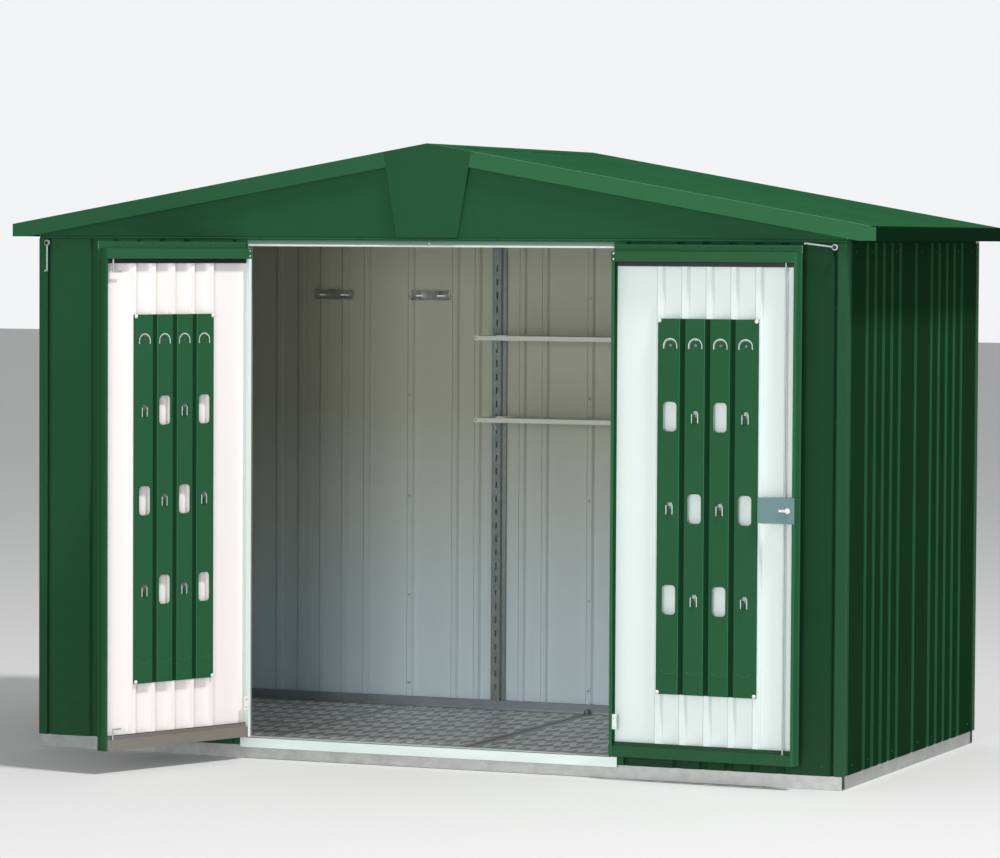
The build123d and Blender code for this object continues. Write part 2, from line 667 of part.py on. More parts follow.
def leaf_top_rail():
    """A folded channel whose top runs over the ribs to a flange on the flat sheet above them."""
    s0, s1 = rail_s()
    low = RAIL_TOP - TOP_RAIL_H
    flat = LEAF_D + SHEET + SEAT
    channel = block(s0, s1, leaf_crest(), leaf_front(), low, RAIL_TOP)
    channel -= block(s0 - 1, s1 + 1, leaf_crest() - 1, leaf_front() - SHEET, low + SHEET, RAIL_TOP - SHEET)
    cover = block(s0, s1, flat, leaf_front(), RAIL_TOP - SHEET, RAIL_TOP)
    flange = block(LEAF_S0, LEAF_END - FLANGE_END_GAP, flat, flat + SHEET, RAIL_TOP, LEAF_TOP)
    return [channel + cover + flange - rod_cut(low - 1, RAIL_TOP + 1, ROD_S)]


def leaf_bottom_rail():
    s0, s1 = rail_s()
    channel = block(s0, s1, leaf_crest(), leaf_front(), LEAF_BOTTOM, BOTTOM_BOX_TOP)
    channel -= block(s0 - 1, s1 + 1, leaf_crest() - 1, leaf_front() - SHEET, LEAF_BOTTOM + SHEET,
                     BOTTOM_BOX_TOP - SHEET)
    flange = block(s0, s1, leaf_crest(), leaf_crest() + SHEET, BOTTOM_BOX_TOP - SHEET, BOTTOM_RAIL_TOP)
    return [channel + flange - rod_cut(LEAF_BOTTOM - 1, BOTTOM_BOX_TOP + 1, ROD_S)]


def leaf_stiles():
    """Folded uprights at the hinge side, with its knuckles, and at the free side."""
    back = LEAF_D + SHEET + SEAT
    solids = []
    for s0, s1, web in ((LEAF_S0, LEAF_S0 + STILE_W, LEAF_S0), (FREE_STILE_OUT - STILE_W, FREE_STILE_OUT, FREE_STILE_OUT)):
        stile = block(s0, s1, back, leaf_front(), LEAF_BOTTOM, RAIL_TOP)
        inside = 1 if web == s0 else -1
        stile -= block(web + inside * SHEET, web + inside * 2 * STILE_W, back + SHEET, leaf_front() - SHEET,
                       LEAF_BOTTOM - 1, RAIL_TOP + 1)
        solids.append(stile)
    solids[1] += block(FREE_STILE_OUT - SHEET, LEAF_END, back, back + SHEET, LEAF_BOTTOM, RAIL_TOP)
    for z in (TOP_KNUCKLE_Z, BOTTOM_KNUCKLE_Z):
        barrel = Cylinder(KNUCKLE_R, KNUCKLE_H, align=(Align.CENTER, Align.CENTER, Align.MIN))
        strap = block(STRAP_S0, LEAF_S0 + SHEET, LEAF_D + SHEET + SEAT, KNUCKLE_R + 2, z, z + KNUCKLE_H)
        bore = Cylinder(PIN_R + PIN_GAP, 3 * KNUCKLE_H)
        solids[0] = solids[0] + Pos(0, 0, z) * barrel + strap - Pos(0, 0, z) * bore
    return solids


def rounded_slot(mid_s, mid_z, d0, d1):
    """A large upright slot with rounded corners, from d0 to d1."""
    half_w = SLOT_W / 2
    half_h = SLOT_H / 2
    cut = block(mid_s - half_w, mid_s + half_w, d0, d1, mid_z - half_h + SLOT_CORNER, mid_z + half_h - SLOT_CORNER)
    cut += block(mid_s - half_w + SLOT_CORNER, mid_s + half_w - SLOT_CORNER, d0, d1, mid_z - half_h, mid_z + half_h)
    for across in (-1, 1):
        for end in (-1, 1):
            corner = Pos(mid_s + across * (half_w - SLOT_CORNER), d0, mid_z + end * (half_h - SLOT_CORNER))
            cut += corner * Rot(-90, 0, 0) * Cylinder(SLOT_CORNER, d1 - d0,
                                                      align=(Align.CENTER, Align.CENTER, Align.MIN))
    return cut


def panel_slots():
    """Each column's large slots, as its number with the slot's middle in s and z."""
    slots = []
    for row in range(3):
        z = ROW_MID + (1 - row) * ROW_PITCH
        first = 1 if row == 1 else 0
        for column in (first, first + 2):
            slots.append((column, LEAF_RIB_MID + (column - (PANEL_COLUMNS - 1) / 2) * COLUMN_PITCH, z))
    return slots


def leaf_tool_panel():
    """Four upright strips side by side, the outer two folded back to the ribs."""
    s0 = LEAF_RIB_MID - PANEL_W / 2
    s1 = LEAF_RIB_MID + PANEL_W / 2
    face = leaf_crest() + PANEL_OUT
    strips = []
    for column in range(PANEL_COLUMNS):
        left = s0 + column * COLUMN_PITCH
        strips.append(block(left, left + COLUMN_PITCH, face - PANEL_T, face, PANEL_BOTTOM, PANEL_TOP))
    strips[0] += block(s0, s0 + PANEL_T, leaf_crest(), face, PANEL_BOTTOM, PANEL_TOP)
    strips[-1] += block(s1 - PANEL_T, s1, leaf_crest(), face, PANEL_BOTTOM, PANEL_TOP)
    for column, mid_s, mid_z in panel_slots():
        strips[column] -= rounded_slot(mid_s, mid_z, face - PANEL_T - 1, face + 1)
    return strips


def lock_case():
    back = LEAF_D + SHEET + SEAT
    plate = block(LOCK_S0, LOCK_S1, leaf_front() + SEAT, leaf_front() + SEAT + LOCK_PLATE_T, LOCK_Z0, LOCK_Z1)
    mid = ROD_S
    case = block(mid - LOCK_CASE_W / 2, mid + LOCK_CASE_W / 2 - SEAT, back, leaf_front() + SEAT, LOCK_Z0, LOCK_Z1)
    case -= block(mid - 8, mid + 8, ROD_D - 8, ROD_D + 6, LOCK_Z0 - 1, LOCK_Z1 + 1)
    bore = Pos(LEVER_S, 0, LEVER_Z) * Rot(-90, 0, 0) * Cylinder(SPINDLE_R + PIN_GAP, 4 * LEAF_T)
    return [plate + case - bore]


def lock_lever():
    """The spindle through the leaf, with a grip outside and a small lever inside."""
    front = leaf_front() + LOCK_PLATE_T + 2 * SEAT
    grip_back = LEAF_D - GRIP_OUT
    spindle = Pos(LEVER_S, grip_back, LEVER_Z) * Rot(-90, 0, 0) * Cylinder(
        SPINDLE_R, front + 6 - grip_back, align=(Align.CENTER, Align.CENTER, Align.MIN))
    boss = Pos(LEVER_S, front, LEVER_Z) * Rot(-90, 0, 0) * Cylinder(
        9, 5, align=(Align.CENTER, Align.CENTER, Align.MIN))
    arm = block(LEVER_S - 30, LEVER_S, front, front + 4, LEVER_Z - 4, LEVER_Z + 4)
    grip = block(LEVER_S - GRIP_W / 2, LEVER_S + GRIP_W / 2, grip_back, grip_back + GRIP_T,
                 LEVER_Z - GRIP_H / 2, LEVER_Z + GRIP_H / 2)
    rose = Pos(LEVER_S, LEAF_D - 3 - SEAT, LEVER_Z) * Rot(-90, 0, 0) * Cylinder(
        ROSE_R, 3, align=(Align.CENTER, Align.CENTER, Align.MIN))
    return [spindle + boss + arm + grip + rose]


def rod(z0, z1):
    return Pos(ROD_S, ROD_D, z0) * Cylinder(ROD_R, z1 - z0, align=(Align.CENTER, Align.CENTER, Align.MIN))


def upper_rod():
    return [rod(LOCK_Z1 - 20, RAIL_TOP - 1)]


def lower_rod():
    return [rod(LEAF_BOTTOM + 1, LOCK_Z0 + 20)]


def bolt_handle(z):
    return block(ROD_S - BOLT_HANDLE, ROD_S, ROD_D - 2, ROD_D + 2, z, z + 5)


def top_bolt():
    return [rod(TOP_BOLT_LOW, RAIL_TOP - 1) + bolt_handle(TOP_BOLT_LOW)]


def bottom_bolt():
    return [rod(LEAF_BOTTOM + 1, LOW_BOLT_TOP) + bolt_handle(LOW_BOLT_TOP - 5)]


def place_leaf(side, shape):
    """Move a closed leaf piece to its open resting place."""
    if side > 0:
        shape = mirror(shape, Plane.YZ)
    angle = RIGHT_DEGREES if side > 0 else -LEFT_DEGREES
    return Pos(side * JAMB_IN, -HALF_D - AXIS_OUT, 0) * Rot(0, 0, angle) * shape


def save_leaf(name, side, solids):
    save(name, *[place_leaf(side, solid) for solid in solids])


def stay():
    """A wire stay with an eye at the origin and a hook at its far end, hanging down."""
    eye = Rot(90, 0, 0) * Cylinder(STAY_EYE_R, 2 * STAY_WIRE_R)
    eye -= Rot(90, 0, 0) * Cylinder(STAY_PIN_R + PIN_GAP, 6 * STAY_WIRE_R)
    wire = Pos(0, 0, -STAY_LEN) * Cylinder(STAY_WIRE_R, STAY_LEN - STAY_EYE_R + 3,
                                           align=(Align.CENTER, Align.CENTER, Align.MIN))
    hook = Pos(0, 0, -STAY_LEN + STAY_WIRE_R) * Rot(90, 0, 0) * Cylinder(
        STAY_WIRE_R, 16, align=(Align.CENTER, Align.CENTER, Align.MIN))
    return eye + wire + hook


def left_stay():
    return Pos(-STAY_X, -HALF_D - STAY_OUT, STAY_Z) * stay()


def right_stay():
    tilt = math.degrees(math.atan2(12, STAY_LEN))
    return Pos(STAY_X, -HALF_D - STAY_OUT, STAY_Z) * Rot(0, 90 + tilt, 0) * stay()


def build():
    save("base_frame", *base_frame())
    save("floor_plates", *floor_plates())
    save("bottom_track", *bottom_track())
    save("corner_posts", *corner_posts())
    save("front_wall_left", front_wall(-1))
    save("front_wall_right", front_wall(1))
    save("rear_wall", rear_wall())
    save("left_wall", side_wall(-1))
    save("right_wall", side_wall(1))
    save("door_jambs", *door_jambs())
    save("front_header", front_header())
    save("head_rail", head_rail())
    save("head_beam", head_beam())
    save("door_sill", door_sill())
    save("sill_strip", sill_strip())
    save("front_gable", gable(-1))
    save("rear_gable", gable(1))
    save("front_gable_plate", gable_plate(-1))
    save("rear_gable_plate", gable_plate(1))
    save("front_verges", *verges(-1))
    save("rear_verges", *verges(1))
    save("roof_left", roof_sheet(-1))
    save("roof_right", roof_sheet(1))
    save("ridge_cap", ridge_cap())
    save("ridge_beam", ridge_beam())
    save("eave_trims", *eave_trims())
    save("top_rails", *top_rails())
    save("shelf_rails", *shelf_rails())
    for name, top in zip(("upper", "lower"), SHELF_TOPS):
        save(name + "_shelf_brackets", *shelf_brackets(top))
        save(name + "_shelf", shelf_board(top))
    save("tool_hangers", *tool_hangers())
    save("hinge_lugs", *hinge_lugs())
    save("stay_pins", *stay_pins())
    for name, side in (("left", -1), ("right", 1)):
        save_leaf(name + "_door_skin", side, leaf_skin(side > 0))
        save_leaf(name + "_door_top_rail", side, leaf_top_rail())
        save_leaf(name + "_door_bottom_rail", side, leaf_bottom_rail())
        save_leaf(name + "_door_stiles", side, leaf_stiles())
        save_leaf(name + "_tool_panel", side, leaf_tool_panel())
    save_leaf("lock_case", 1, lock_case())
    save_leaf("lock_lever", 1, lock_lever())
    save_leaf("upper_lock_rod", 1, upper_rod())
    save_leaf("lower_lock_rod", 1, lower_rod())
    save_leaf("left_top_bolt", -1, top_bolt())
    save_leaf("left_bottom_bolt", -1, bottom_bolt())
    save("left_stay", left_stay())
    save("right_stay", right_stay())


build()
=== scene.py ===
import bpy
import bmesh
import math
from mathutils import Matrix, Vector


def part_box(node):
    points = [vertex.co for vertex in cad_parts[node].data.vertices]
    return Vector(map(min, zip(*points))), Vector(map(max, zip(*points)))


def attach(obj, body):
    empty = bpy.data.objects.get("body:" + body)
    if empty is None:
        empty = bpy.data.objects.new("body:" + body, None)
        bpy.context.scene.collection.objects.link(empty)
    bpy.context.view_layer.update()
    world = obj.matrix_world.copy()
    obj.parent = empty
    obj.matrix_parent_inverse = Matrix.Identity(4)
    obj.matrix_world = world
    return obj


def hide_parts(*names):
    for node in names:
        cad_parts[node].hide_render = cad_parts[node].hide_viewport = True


bl_info = {
    "name": "Metal Garden Shed",
    "version": (1, 0, 0),
    "blender": (4, 5, 0),
    "location": "3D View > Sidebar > Shed",
    "description": "Finishes, fasteners and fittings of a ribbed sheet-metal garden shed",
    "category": "Object",
}

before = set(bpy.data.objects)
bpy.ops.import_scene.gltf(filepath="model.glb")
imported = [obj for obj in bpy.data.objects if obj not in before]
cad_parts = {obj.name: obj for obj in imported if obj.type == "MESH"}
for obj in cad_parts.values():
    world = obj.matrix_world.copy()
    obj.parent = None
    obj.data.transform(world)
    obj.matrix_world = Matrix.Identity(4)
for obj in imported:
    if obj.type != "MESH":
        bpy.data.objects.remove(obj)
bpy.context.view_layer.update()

# Faces and lines of the shed, in metres
FRONT = -0.752
REAR = 0.752
SIDE = 1.472
POST = 0.032
SHEET = 0.001
RIB_DEPTH = 0.012
GABLE_BASE = 1.783
MODULE = 0.72
DOORWAY_HALF = 0.6675
HEADER_FACE = FRONT + 0.004
PIN_FOOT = FRONT - 0.0022
REAR_RAIL = 0.7
TRACK_TOP = 0.070
SILL_TOP = 0.072

# Rows of rivets and screws on the walls
WALL_FOOT = 0.075
WALL_HEAD = 1.745
POST_HEAD = 1.74
REAR_FOOT = 0.12
ROW_HEIGHTS = (0.45, 0.82, 1.195, 1.56)
SCREW_INSET = 0.0045
SEAM_SHIFT = 0.003
FRONT_PANS = (0.76, 0.90, 1.17, 1.40)
SIDE_PANS = (-0.66, -0.495, -0.225, 0.06, 0.225, 0.495, 0.66)
GABLE_PLACES = (0.25, 0.62, 0.99, 1.36)
GABLE_ROW = GABLE_BASE - 0.0055

# Trim of the doorway: sections as outwards and up
BEAD_MIDDLE = 1.7772
BEAD_HALF = 0.0030
BEAD_BULGE = 0.0035
BEAD_STEPS = 6
LIP_FOOT = 1.7501
LIP_SECTION = ((0, 0), (0.0006, 0.0003), (0.0009, 0.0029), (0.0006, 0.0061), (0, 0.0065))
HEAD_SCREW_X = 0.003
HEAD_SCREW_Z = 1.762
SILL_EDGE_SECTION = ((0.0050, 0), (0.0052, -0.0008), (0.0054, 0.0002), (0.0044, 0.0007), (0.0010, 0.0007),
                     (0.0006, 0))

# Floor: the seam's section as across and up, the knob's profile as radius and height
SEAM_X = 0.015
SEAM_SECTION = ((-0.0022, -0.0002), (-0.0017, 0.0010), (0.0013, 0.0010), (0.0018, -0.0002))
PLATE_SCREW_SHIFT = 0.012
PLATE_SCREW_ROWS = (-0.60, -0.2, 0.2, 0.60)
KNOB = ((0.015, 0), (0.015, 0.003), (0.010, 0.006), (0.010, 0.014), (0.006, 0.018))
TREAD_BORDER = 0.02
SEAM_CLEAR = 0.018
TREAD_REACH = 0.44
TREAD_SHOULDER = 0.6
TREAD_HALF = 0.0100
TREAD_RISE = 0.0014

# Hinge axes of the leaves, how far they stand open, and depths from the axis
AXIS_X = 0.668
AXIS_Y = -0.760
LEFT_OPEN = math.radians(112)
RIGHT_OPEN = math.radians(178)
LEAF_FACE = 0.033
LEAF_CREST = 0.018
CREST_CLEAR = LEAF_CREST + 0.0005
HINGE_STILE = (0.0085, 0.3)

# Tool panels, in a leaf's own directions
PANEL_MID = 0.346
PANEL_HALF = 0.176
PANEL_LOW = 0.292
PANEL_HIGH = 1.522
PANEL_FACE = 0.0252
PANEL_SHEET = 0.0012
PANEL_CORNER = 0.002
COLUMN_PITCH = 0.088
ROW_MIDDLE = 0.902
ROW_PITCH = 0.300
GROOVE_SECTION = ((-0.0120, 0), (-0.0100, 0), (-0.0045, 0.0054), (0.0045, 0.0054), (0.0085, 0))
GROOVE_SPAN = (-0.0099, 0.0084)
FOLD_SPAN = (-0.0119, -0.0101)
CUT_DEPTH = 0.004
SLOT_W = 0.047
SLOT_H = 0.097
SLOT_CORNER = 0.013
HOOP_TOP = 1.459
HOOP_HALF = 0.025
HOOP_BAND = 0.007
HOOP_LEG = 0.010
HOLE_DROP = 0.024
HOLE_RADIUS = 0.0055
TONGUE_HOLE = ((-0.012, -0.020), (0.012, -0.020), (0.012, 0.012), (0.008, 0.020), (-0.008, 0.020),
               (-0.012, 0.012))
TONGUE_HALF = 0.0035
RIM_LOW = PANEL_FACE - 0.0008
RIM_HIGH = PANEL_FACE + 0.0004
RIM_SHIFT = 0.0108
RIM_HALF = 0.0014
PRESSING_MIDDLE = 0.371
PRESSING_DOTS = 7
CLIP_INSET = 0.006

# Fittings of the leaves' boxes: places along the leaf, then heights
FLANGE_SCREWS = (0.1295, 0.1697, 0.255, 0.341, 0.429, 0.515, 0.559, 0.642)
FLANGE_ROW = 1.7562
FLANGE_FACE = 0.007
BOX_ALONG = (0.0205, 0.6445)
BOX_SHADE_GAP = (1.692, 1.7068)
RAIL_SHADE_LINE = (0.1242, 0.1268)
HINGE_PLATE = ((0.0195, 0.036), (0.168, 0.218))
BOX_END = ((0.0085, 0.0205), (1.7070, 1.7405))
FLANGE_END = (0.6615, 0.6645, 0.0058, 0.0068, 1.7420, 1.7636)
PLATE_SCREWS = ((0.028, 0.180), (0.028, 0.206), (0.0145, 1.715), (0.0145, 1.733))

# Heads of fasteners as radius and height
SCREW_HEAD = ((0.0062, 0.0), (0.0062, 0.0012), (0.0042, 0.0013), (0.0042, 0.0030), (0.0034, 0.0040),
              (0.0016, 0.0045))
RIVET_HEAD = ((0.0040, 0.0), (0.0040, 0.0006), (0.0033, 0.0015), (0.0016, 0.0021))

# The photograph's viewpoint: its eye, its turns in degrees and its focal length in the picture's pixels
EYE = (5.8103, -14.1271, 1.7787)
YAW = 22.5199
PITCH = 2.4989
ROLL = 0.2998
FOCAL_PIXELS = 4353.5
PICTURE_WIDTH = 1000
SENSOR = 36

# Stage: each lamp's name, place, target, size and power
LAMPS = (("high", (5.4, -2.5, 11.8), (0.0, -0.7, 1.2), 1.2, 1200),
         ("front", (1.0, -9.5, 1.4), (0.1, 0.3, 0.9), 2.5, 270))
WORLD_LIGHT = 0.44
BACKDROP_LIGHT = 0.92
GROUND_REACH = 60.0
GROUND_DROP = 0.0005


def leaf_to_shed(side, s, d, z):
    """A point of an open leaf, given along it from the hinge and inwards from its axis."""
    turn = RIGHT_OPEN if side > 0 else -LEFT_OPEN
    x = -side * s
    return Vector((side * AXIS_X + x * math.cos(turn) - d * math.sin(turn),
                   AXIS_Y + x * math.sin(turn) + d * math.cos(turn), z))


def leaf_direction(side, s, d, z):
    """A direction of a leaf, such as the way that its inner face looks."""
    return leaf_to_shed(side, s, d, z) - leaf_to_shed(side, 0, 0, 0)


def along_leaf(side, point):
    """How far a point lies along a leaf from its hinge axis."""
    return (Vector(point) - leaf_to_shed(side, 0, 0, 0)).dot(leaf_direction(side, 1, 0, 0))


# Finishes


def new_finish(name):
    """A new material with its nodes and its shader."""
    made = bpy.data.materials.new(name)
    made.use_nodes = True
    return made, made.node_tree, made.node_tree.nodes["Principled BSDF"]


def noise(tree, place, scale, detail=2.0, roughness=0.5):
    """Cloudy noise over a place."""
    cloud = tree.nodes.new("ShaderNodeTexNoise")
    cloud.inputs["Scale"].default_value = scale
    cloud.inputs["Detail"].default_value = detail
    cloud.inputs["Roughness"].default_value = roughness
    tree.links.new(place, cloud.inputs["Vector"])
    return cloud.outputs["Fac"]


def cloudy_tone(tree, colour, amount, scale, stretch=(1, 1, 1)):
    """A colour that varies slowly over the sheet, as paint and handling leave it, with place and clouds."""
    place = tree.nodes.new("ShaderNodeTexCoord").outputs["Object"]
    spread = tree.nodes.new("ShaderNodeMapping")
    spread.inputs["Scale"].default_value = stretch
    tree.links.new(place, spread.inputs["Vector"])
    clouds = noise(tree, spread.outputs["Vector"], scale, 4.0, 0.6)
    ramp = tree.nodes.new("ShaderNodeValToRGB")
    darker, lighter = ramp.color_ramp.elements
    darker.position = 0.3
    darker.color = tuple(c * (1 - amount) for c in colour[:3]) + (1,)
    lighter.position = 0.7
    lighter.color = tuple(min(1, c * (1 + amount)) for c in colour[:3]) + (1,)
    tree.links.new(clouds, ramp.inputs["Fac"])
    return place, clouds, ramp.outputs["Color"]


def height_fade(tree, place, start, end, most=1.0):
    """Nothing at the height of start and most at that of end."""
    height = tree.nodes.new("ShaderNodeSeparateXYZ")
    tree.links.new(place, height.inputs["Vector"])
    fade = tree.nodes.new("ShaderNodeMapRange")
    fade.inputs["From Min"].default_value = start
    fade.inputs["From Max"].default_value = end
    fade.inputs["To Max"].default_value = most
    tree.links.new(height.outputs["Z"], fade.inputs["Value"])
    return fade.outputs["Result"]


def blended(tree, share, tone, colour):
    """A tone that turns into a plain colour by a share."""
    blend = tree.nodes.new("ShaderNodeMixRGB")
    blend.inputs["Color2"].default_value = (*colour, 1)
    tree.links.new(share, blend.inputs["Fac"])
    tree.links.new(tone, blend.inputs["Color1"])
    return blend.outputs["Color"]


def gloss_between(tree, shader, clouds, low, high):
    """Roughness that follows the clouds from a low to a high level."""
    gloss = tree.nodes.new("ShaderNodeMapRange")
    gloss.inputs["To Min"].default_value = low
    gloss.inputs["To Max"].default_value = high
    tree.links.new(clouds, gloss.inputs["Value"])
    tree.links.new(gloss.outputs["Result"], shader.inputs["Roughness"])


def soft_folds(tree, radius):
    """Normals that round the edges of a bent sheet."""
    fold = tree.nodes.new("ShaderNodeBevel")
    fold.samples = 4
    fold.inputs["Radius"].default_value = radius
    return fold.outputs["Normal"]


def bumped(tree, height, strength, distance, normal=None):
    """Normals with small bumps added."""
    bump = tree.nodes.new("ShaderNodeBump")
    bump.inputs["Strength"].default_value = strength
    bump.inputs["Distance"].default_value = distance
    tree.links.new(height, bump.inputs["Height"])
    if normal is not None:
        tree.links.new(normal, bump.inputs["Normal"])
    return bump.outputs["Normal"]


DUST_COLOUR = (0.30, 0.28, 0.22)
DUST_HEIGHTS = (0.42, 0.04)


def coated_sheet(name, colour, roughness, amount=0.04, dust=0.0, specular=0.02, low=None, painted_light_span=None):
    """Coil-coated steel: even colour, faint peel in the gloss, soft folds and some dust near the ground; a
    low colour, where given, blends in by height as painted light and shade.
    """
    made, tree, shader = new_finish(name)
    shader.inputs["Specular IOR Level"].default_value = specular
    place, clouds, tone = cloudy_tone(tree, colour, amount, 2.2)
    # Painted light and shade: a low colour blends in by height.
    if low:
        tone = blended(tree, height_fade(tree, place, *painted_light_span), tone, low)
    if dust:
        share = tree.nodes.new("ShaderNodeMath")
        share.operation = "MULTIPLY"
        tree.links.new(height_fade(tree, place, *DUST_HEIGHTS, dust), share.inputs[0])
        tree.links.new(noise(tree, place, 38.0, 6.0), share.inputs[1])
        tone = blended(tree, share.outputs["Value"], tone, DUST_COLOUR)
    tree.links.new(tone, shader.inputs["Base Color"])
    gloss_between(tree, shader, clouds, roughness - 0.05, roughness + 0.07)
    waves = bumped(tree, noise(tree, place, 5.0, 1.0), 0.35, 0.003, soft_folds(tree, 0.0022))
    peel = bumped(tree, noise(tree, place, 420.0), 0.02, 0.001, waves)
    tree.links.new(peel, shader.inputs["Normal"])
    return made


def green_sheet(look, name, share, roughness=0.42, amount=0.04, **more):
    """The green coat, made darker or lighter by a share."""
    return coated_sheet(name, [c * share for c in look.green[:3]], roughness, amount, **more)


def bare_metal(name, colour, roughness, amount, scale, stretch=(1, 1, 1), metallic=1.0):
    """Uncoated metal: zinc or aluminium with cloudy gloss and fine scratches."""
    made, tree, shader = new_finish(name)
    shader.inputs["Metallic"].default_value = metallic
    place, clouds, tone = cloudy_tone(tree, colour, amount, scale, stretch)
    tree.links.new(tone, shader.inputs["Base Color"])
    gloss_between(tree, shader, clouds, max(0.05, roughness - 0.12), roughness + 0.15)
    scratches = bumped(tree, noise(tree, place, 160.0, 5.0), 0.06, 0.001, soft_folds(tree, 0.0012))
    tree.links.new(scratches, shader.inputs["Normal"])
    return made


def moulded(name, colour, roughness=0.45):
    """Moulded plastic with a fine grain."""
    made, tree, shader = new_finish(name)
    shader.inputs["Roughness"].default_value = roughness
    place, _, tone = cloudy_tone(tree, colour, 0.08, 30.0)
    tree.links.new(tone, shader.inputs["Base Color"])
    tree.links.new(bumped(tree, noise(tree, place, 900.0), 0.1, 0.0005), shader.inputs["Normal"])
    return made


FINISHES = {}


def make_green_finishes(look):
    """The tints of the one green coat, lighter or darker with the light that each part stands in."""
    FINISHES["green"] = green_sheet(look, "green_coat", 1.0, 0.45, 0.05, dust=0.06)
    FINISHES["shade_green"] = green_sheet(look, "shaded_wall_coat", 0.62, 0.5, 0.05, dust=0.04)
    # Painted shade: the right side wall and the outer faces of the top rails take a darker copy of the
    # green.
    FINISHES["shaded_side_green"] = green_sheet(look, "shaded_side_wall_coat", 0.42, 0.6, 0.05, specular=0.0)
    # Painted highlight: the rib flanks of the right wall that face the front take a lighter copy of the
    # green.
    FINISHES["lit_rib_green"] = green_sheet(look, "lit_rib_edge_coat", 1.3, 0.5, 0.05)
    # Painted shade: the eave trims take a much darker copy of the green, as in the shade under the roof's
    # edge.
    FINISHES["eave"] = green_sheet(look, "shaded_eave_coat", 0.25, 0.6, specular=0.0)
    # Painted light: the verges, the header bead and the sill edge take a lighter copy of the green, and the
    # right front verge a lighter one still.
    FINISHES["trim"] = green_sheet(look, "lit_trim_coat", 1.3)
    FINISHES["lit_trim_right"] = green_sheet(look, "more_lit_right_verge_coat", 1.6)
    # Painted light: the right leaf's stiles take a lighter copy of the green.
    FINISHES["stile"] = green_sheet(look, "lit_stile_coat", 1.5)
    # Painted shade: the faces inside the tool panels' grooves take a darker copy of the green.
    FINISHES["groove"] = green_sheet(look, "painted_shade_groove_coat", 0.45, 0.5, specular=0.0)
    # Painted highlight: the fold beside each panel groove takes a much lighter copy of the green.
    FINISHES["highlit_fold_line"] = green_sheet(look, "painted_highlight_fold_coat", 2.2, 0.4)
    # Painted light: the leaves' box rails and the tool panels take lighter copies of the green.
    FINISHES["box"] = green_sheet(look, "lit_leaf_box_coat", 1.2, 0.40, specular=0.06)
    FINISHES["panel"] = green_sheet(look, "lit_panel_coat", 1.15)


def make_sheet_finishes(look):
    """The other coats: roof, leaf insides, wall insides, rails, shelves and lock."""
    FINISHES["roof"] = coated_sheet("roof_coat", look.roof[:3], 0.8, 0.06, specular=0.0)
    # Painted light: two tints of the one white leaf coat, cool as in skylight and warm as in sunlight.
    FINISHES["white"] = coated_sheet("skylit_leaf_coat", look.white[:3], 0.45, 0.012, dust=0.02, specular=0.15)
    FINISHES["sunlit_white"] = coated_sheet("sunlit_leaf_coat", look.sunlit_white[:3], 0.45, 0.012, dust=0.02,
                                          specular=0.15)
    # Painted light: the wall insides pale to a bluish tone towards the floor and stay darker olive up high,
    # where less light falls.
    FINISHES["inside"] = coated_sheet("inside_primer_painted_light", look.inside[:3], 0.5, 0.02, dust=0.05, specular=0.15,
                                      low=(0.78, 0.92, 0.97), painted_light_span=(1.15, 0.10))
    FINISHES["jamb"] = coated_sheet("jamb_primer", (0.30, 0.295, 0.25), 0.5)
    # Painted light: the left leaf's lower rail takes the grey-brown tone that strong light gives it.
    FINISHES["sunlit_taupe"] = coated_sheet("sunlit_rail_tint", look.sunlit_taupe[:3], 0.45, 0.05, dust=0.05)
    # Painted shade and light: the head rail is dark green at its top, in the header's shade, and pales
    # towards its lit lower edge.
    FINISHES["head"] = coated_sheet("shaded_head_rail_coat", (0.05, 0.13, 0.085), 0.4, 0.03, specular=0.3,
                                    low=(0.25, 0.33, 0.28), painted_light_span=(1.771, 1.754))
    # Pale rail lip, also on the panel rims: partly the pale bare metal, partly a painted highlight.
    FINISHES["lip"] = coated_sheet("rail_lip", (0.72, 0.80, 0.75), 0.35, 0.03, specular=0.4)
    FINISHES["lock"] = coated_sheet("lock_grey", look.lock_grey[:3], 0.42)
    FINISHES["shelf"] = coated_sheet("shelf_grey", (0.72, 0.74, 0.68), 0.42, 0.03, specular=0.3)


def make_other_finishes(look):
    """Bare metals and plastics."""
    FINISHES["tread"] = bare_metal("tread_plate", [c * 0.66 for c in look.aluminium[:3]], 0.40, 0.10, 9.0,
                                   metallic=0.2)
    # Tread bars: white, partly worn bright metal, partly a painted highlight in place of their glints.
    FINISHES["highlit_tread_bar"] = bare_metal("highlit_worn_treads", (1.0, 1.0, 1.0), 0.28, 0.02, 9.0, metallic=0.0)
    FINISHES["border"] = bare_metal("track_zinc", (0.30, 0.34, 0.39), 0.42, 0.08, 9.0, metallic=0.2)
    FINISHES["base"] = bare_metal("base_zinc", (0.42, 0.43, 0.42), 0.5, 0.15, 25.0)
    FINISHES["rod"] = bare_metal("rod_zinc", (0.42, 0.48, 0.47), 0.45, 0.10, 40.0, metallic=0.5)
    FINISHES["zinc"] = bare_metal("bright_zinc", look.zinc[:3], 0.3, 0.12, 40.0)
    FINISHES["sill"] = bare_metal("sill_aluminium", (0.76, 0.85, 0.82), 0.34, 0.06, 12.0, (0.2, 1, 1),
                                  metallic=0.4)
    FINISHES["rail"] = bare_metal("rail_zinc", (0.27, 0.31, 0.30), 0.42, 0.12, 30.0, metallic=0.5)
    FINISHES["black"] = moulded("black_plastic", (0.006, 0.007, 0.006), 0.6)
    FINISHES["clip"] = moulded("white_clip", (0.78, 0.80, 0.78))


# Mesh making


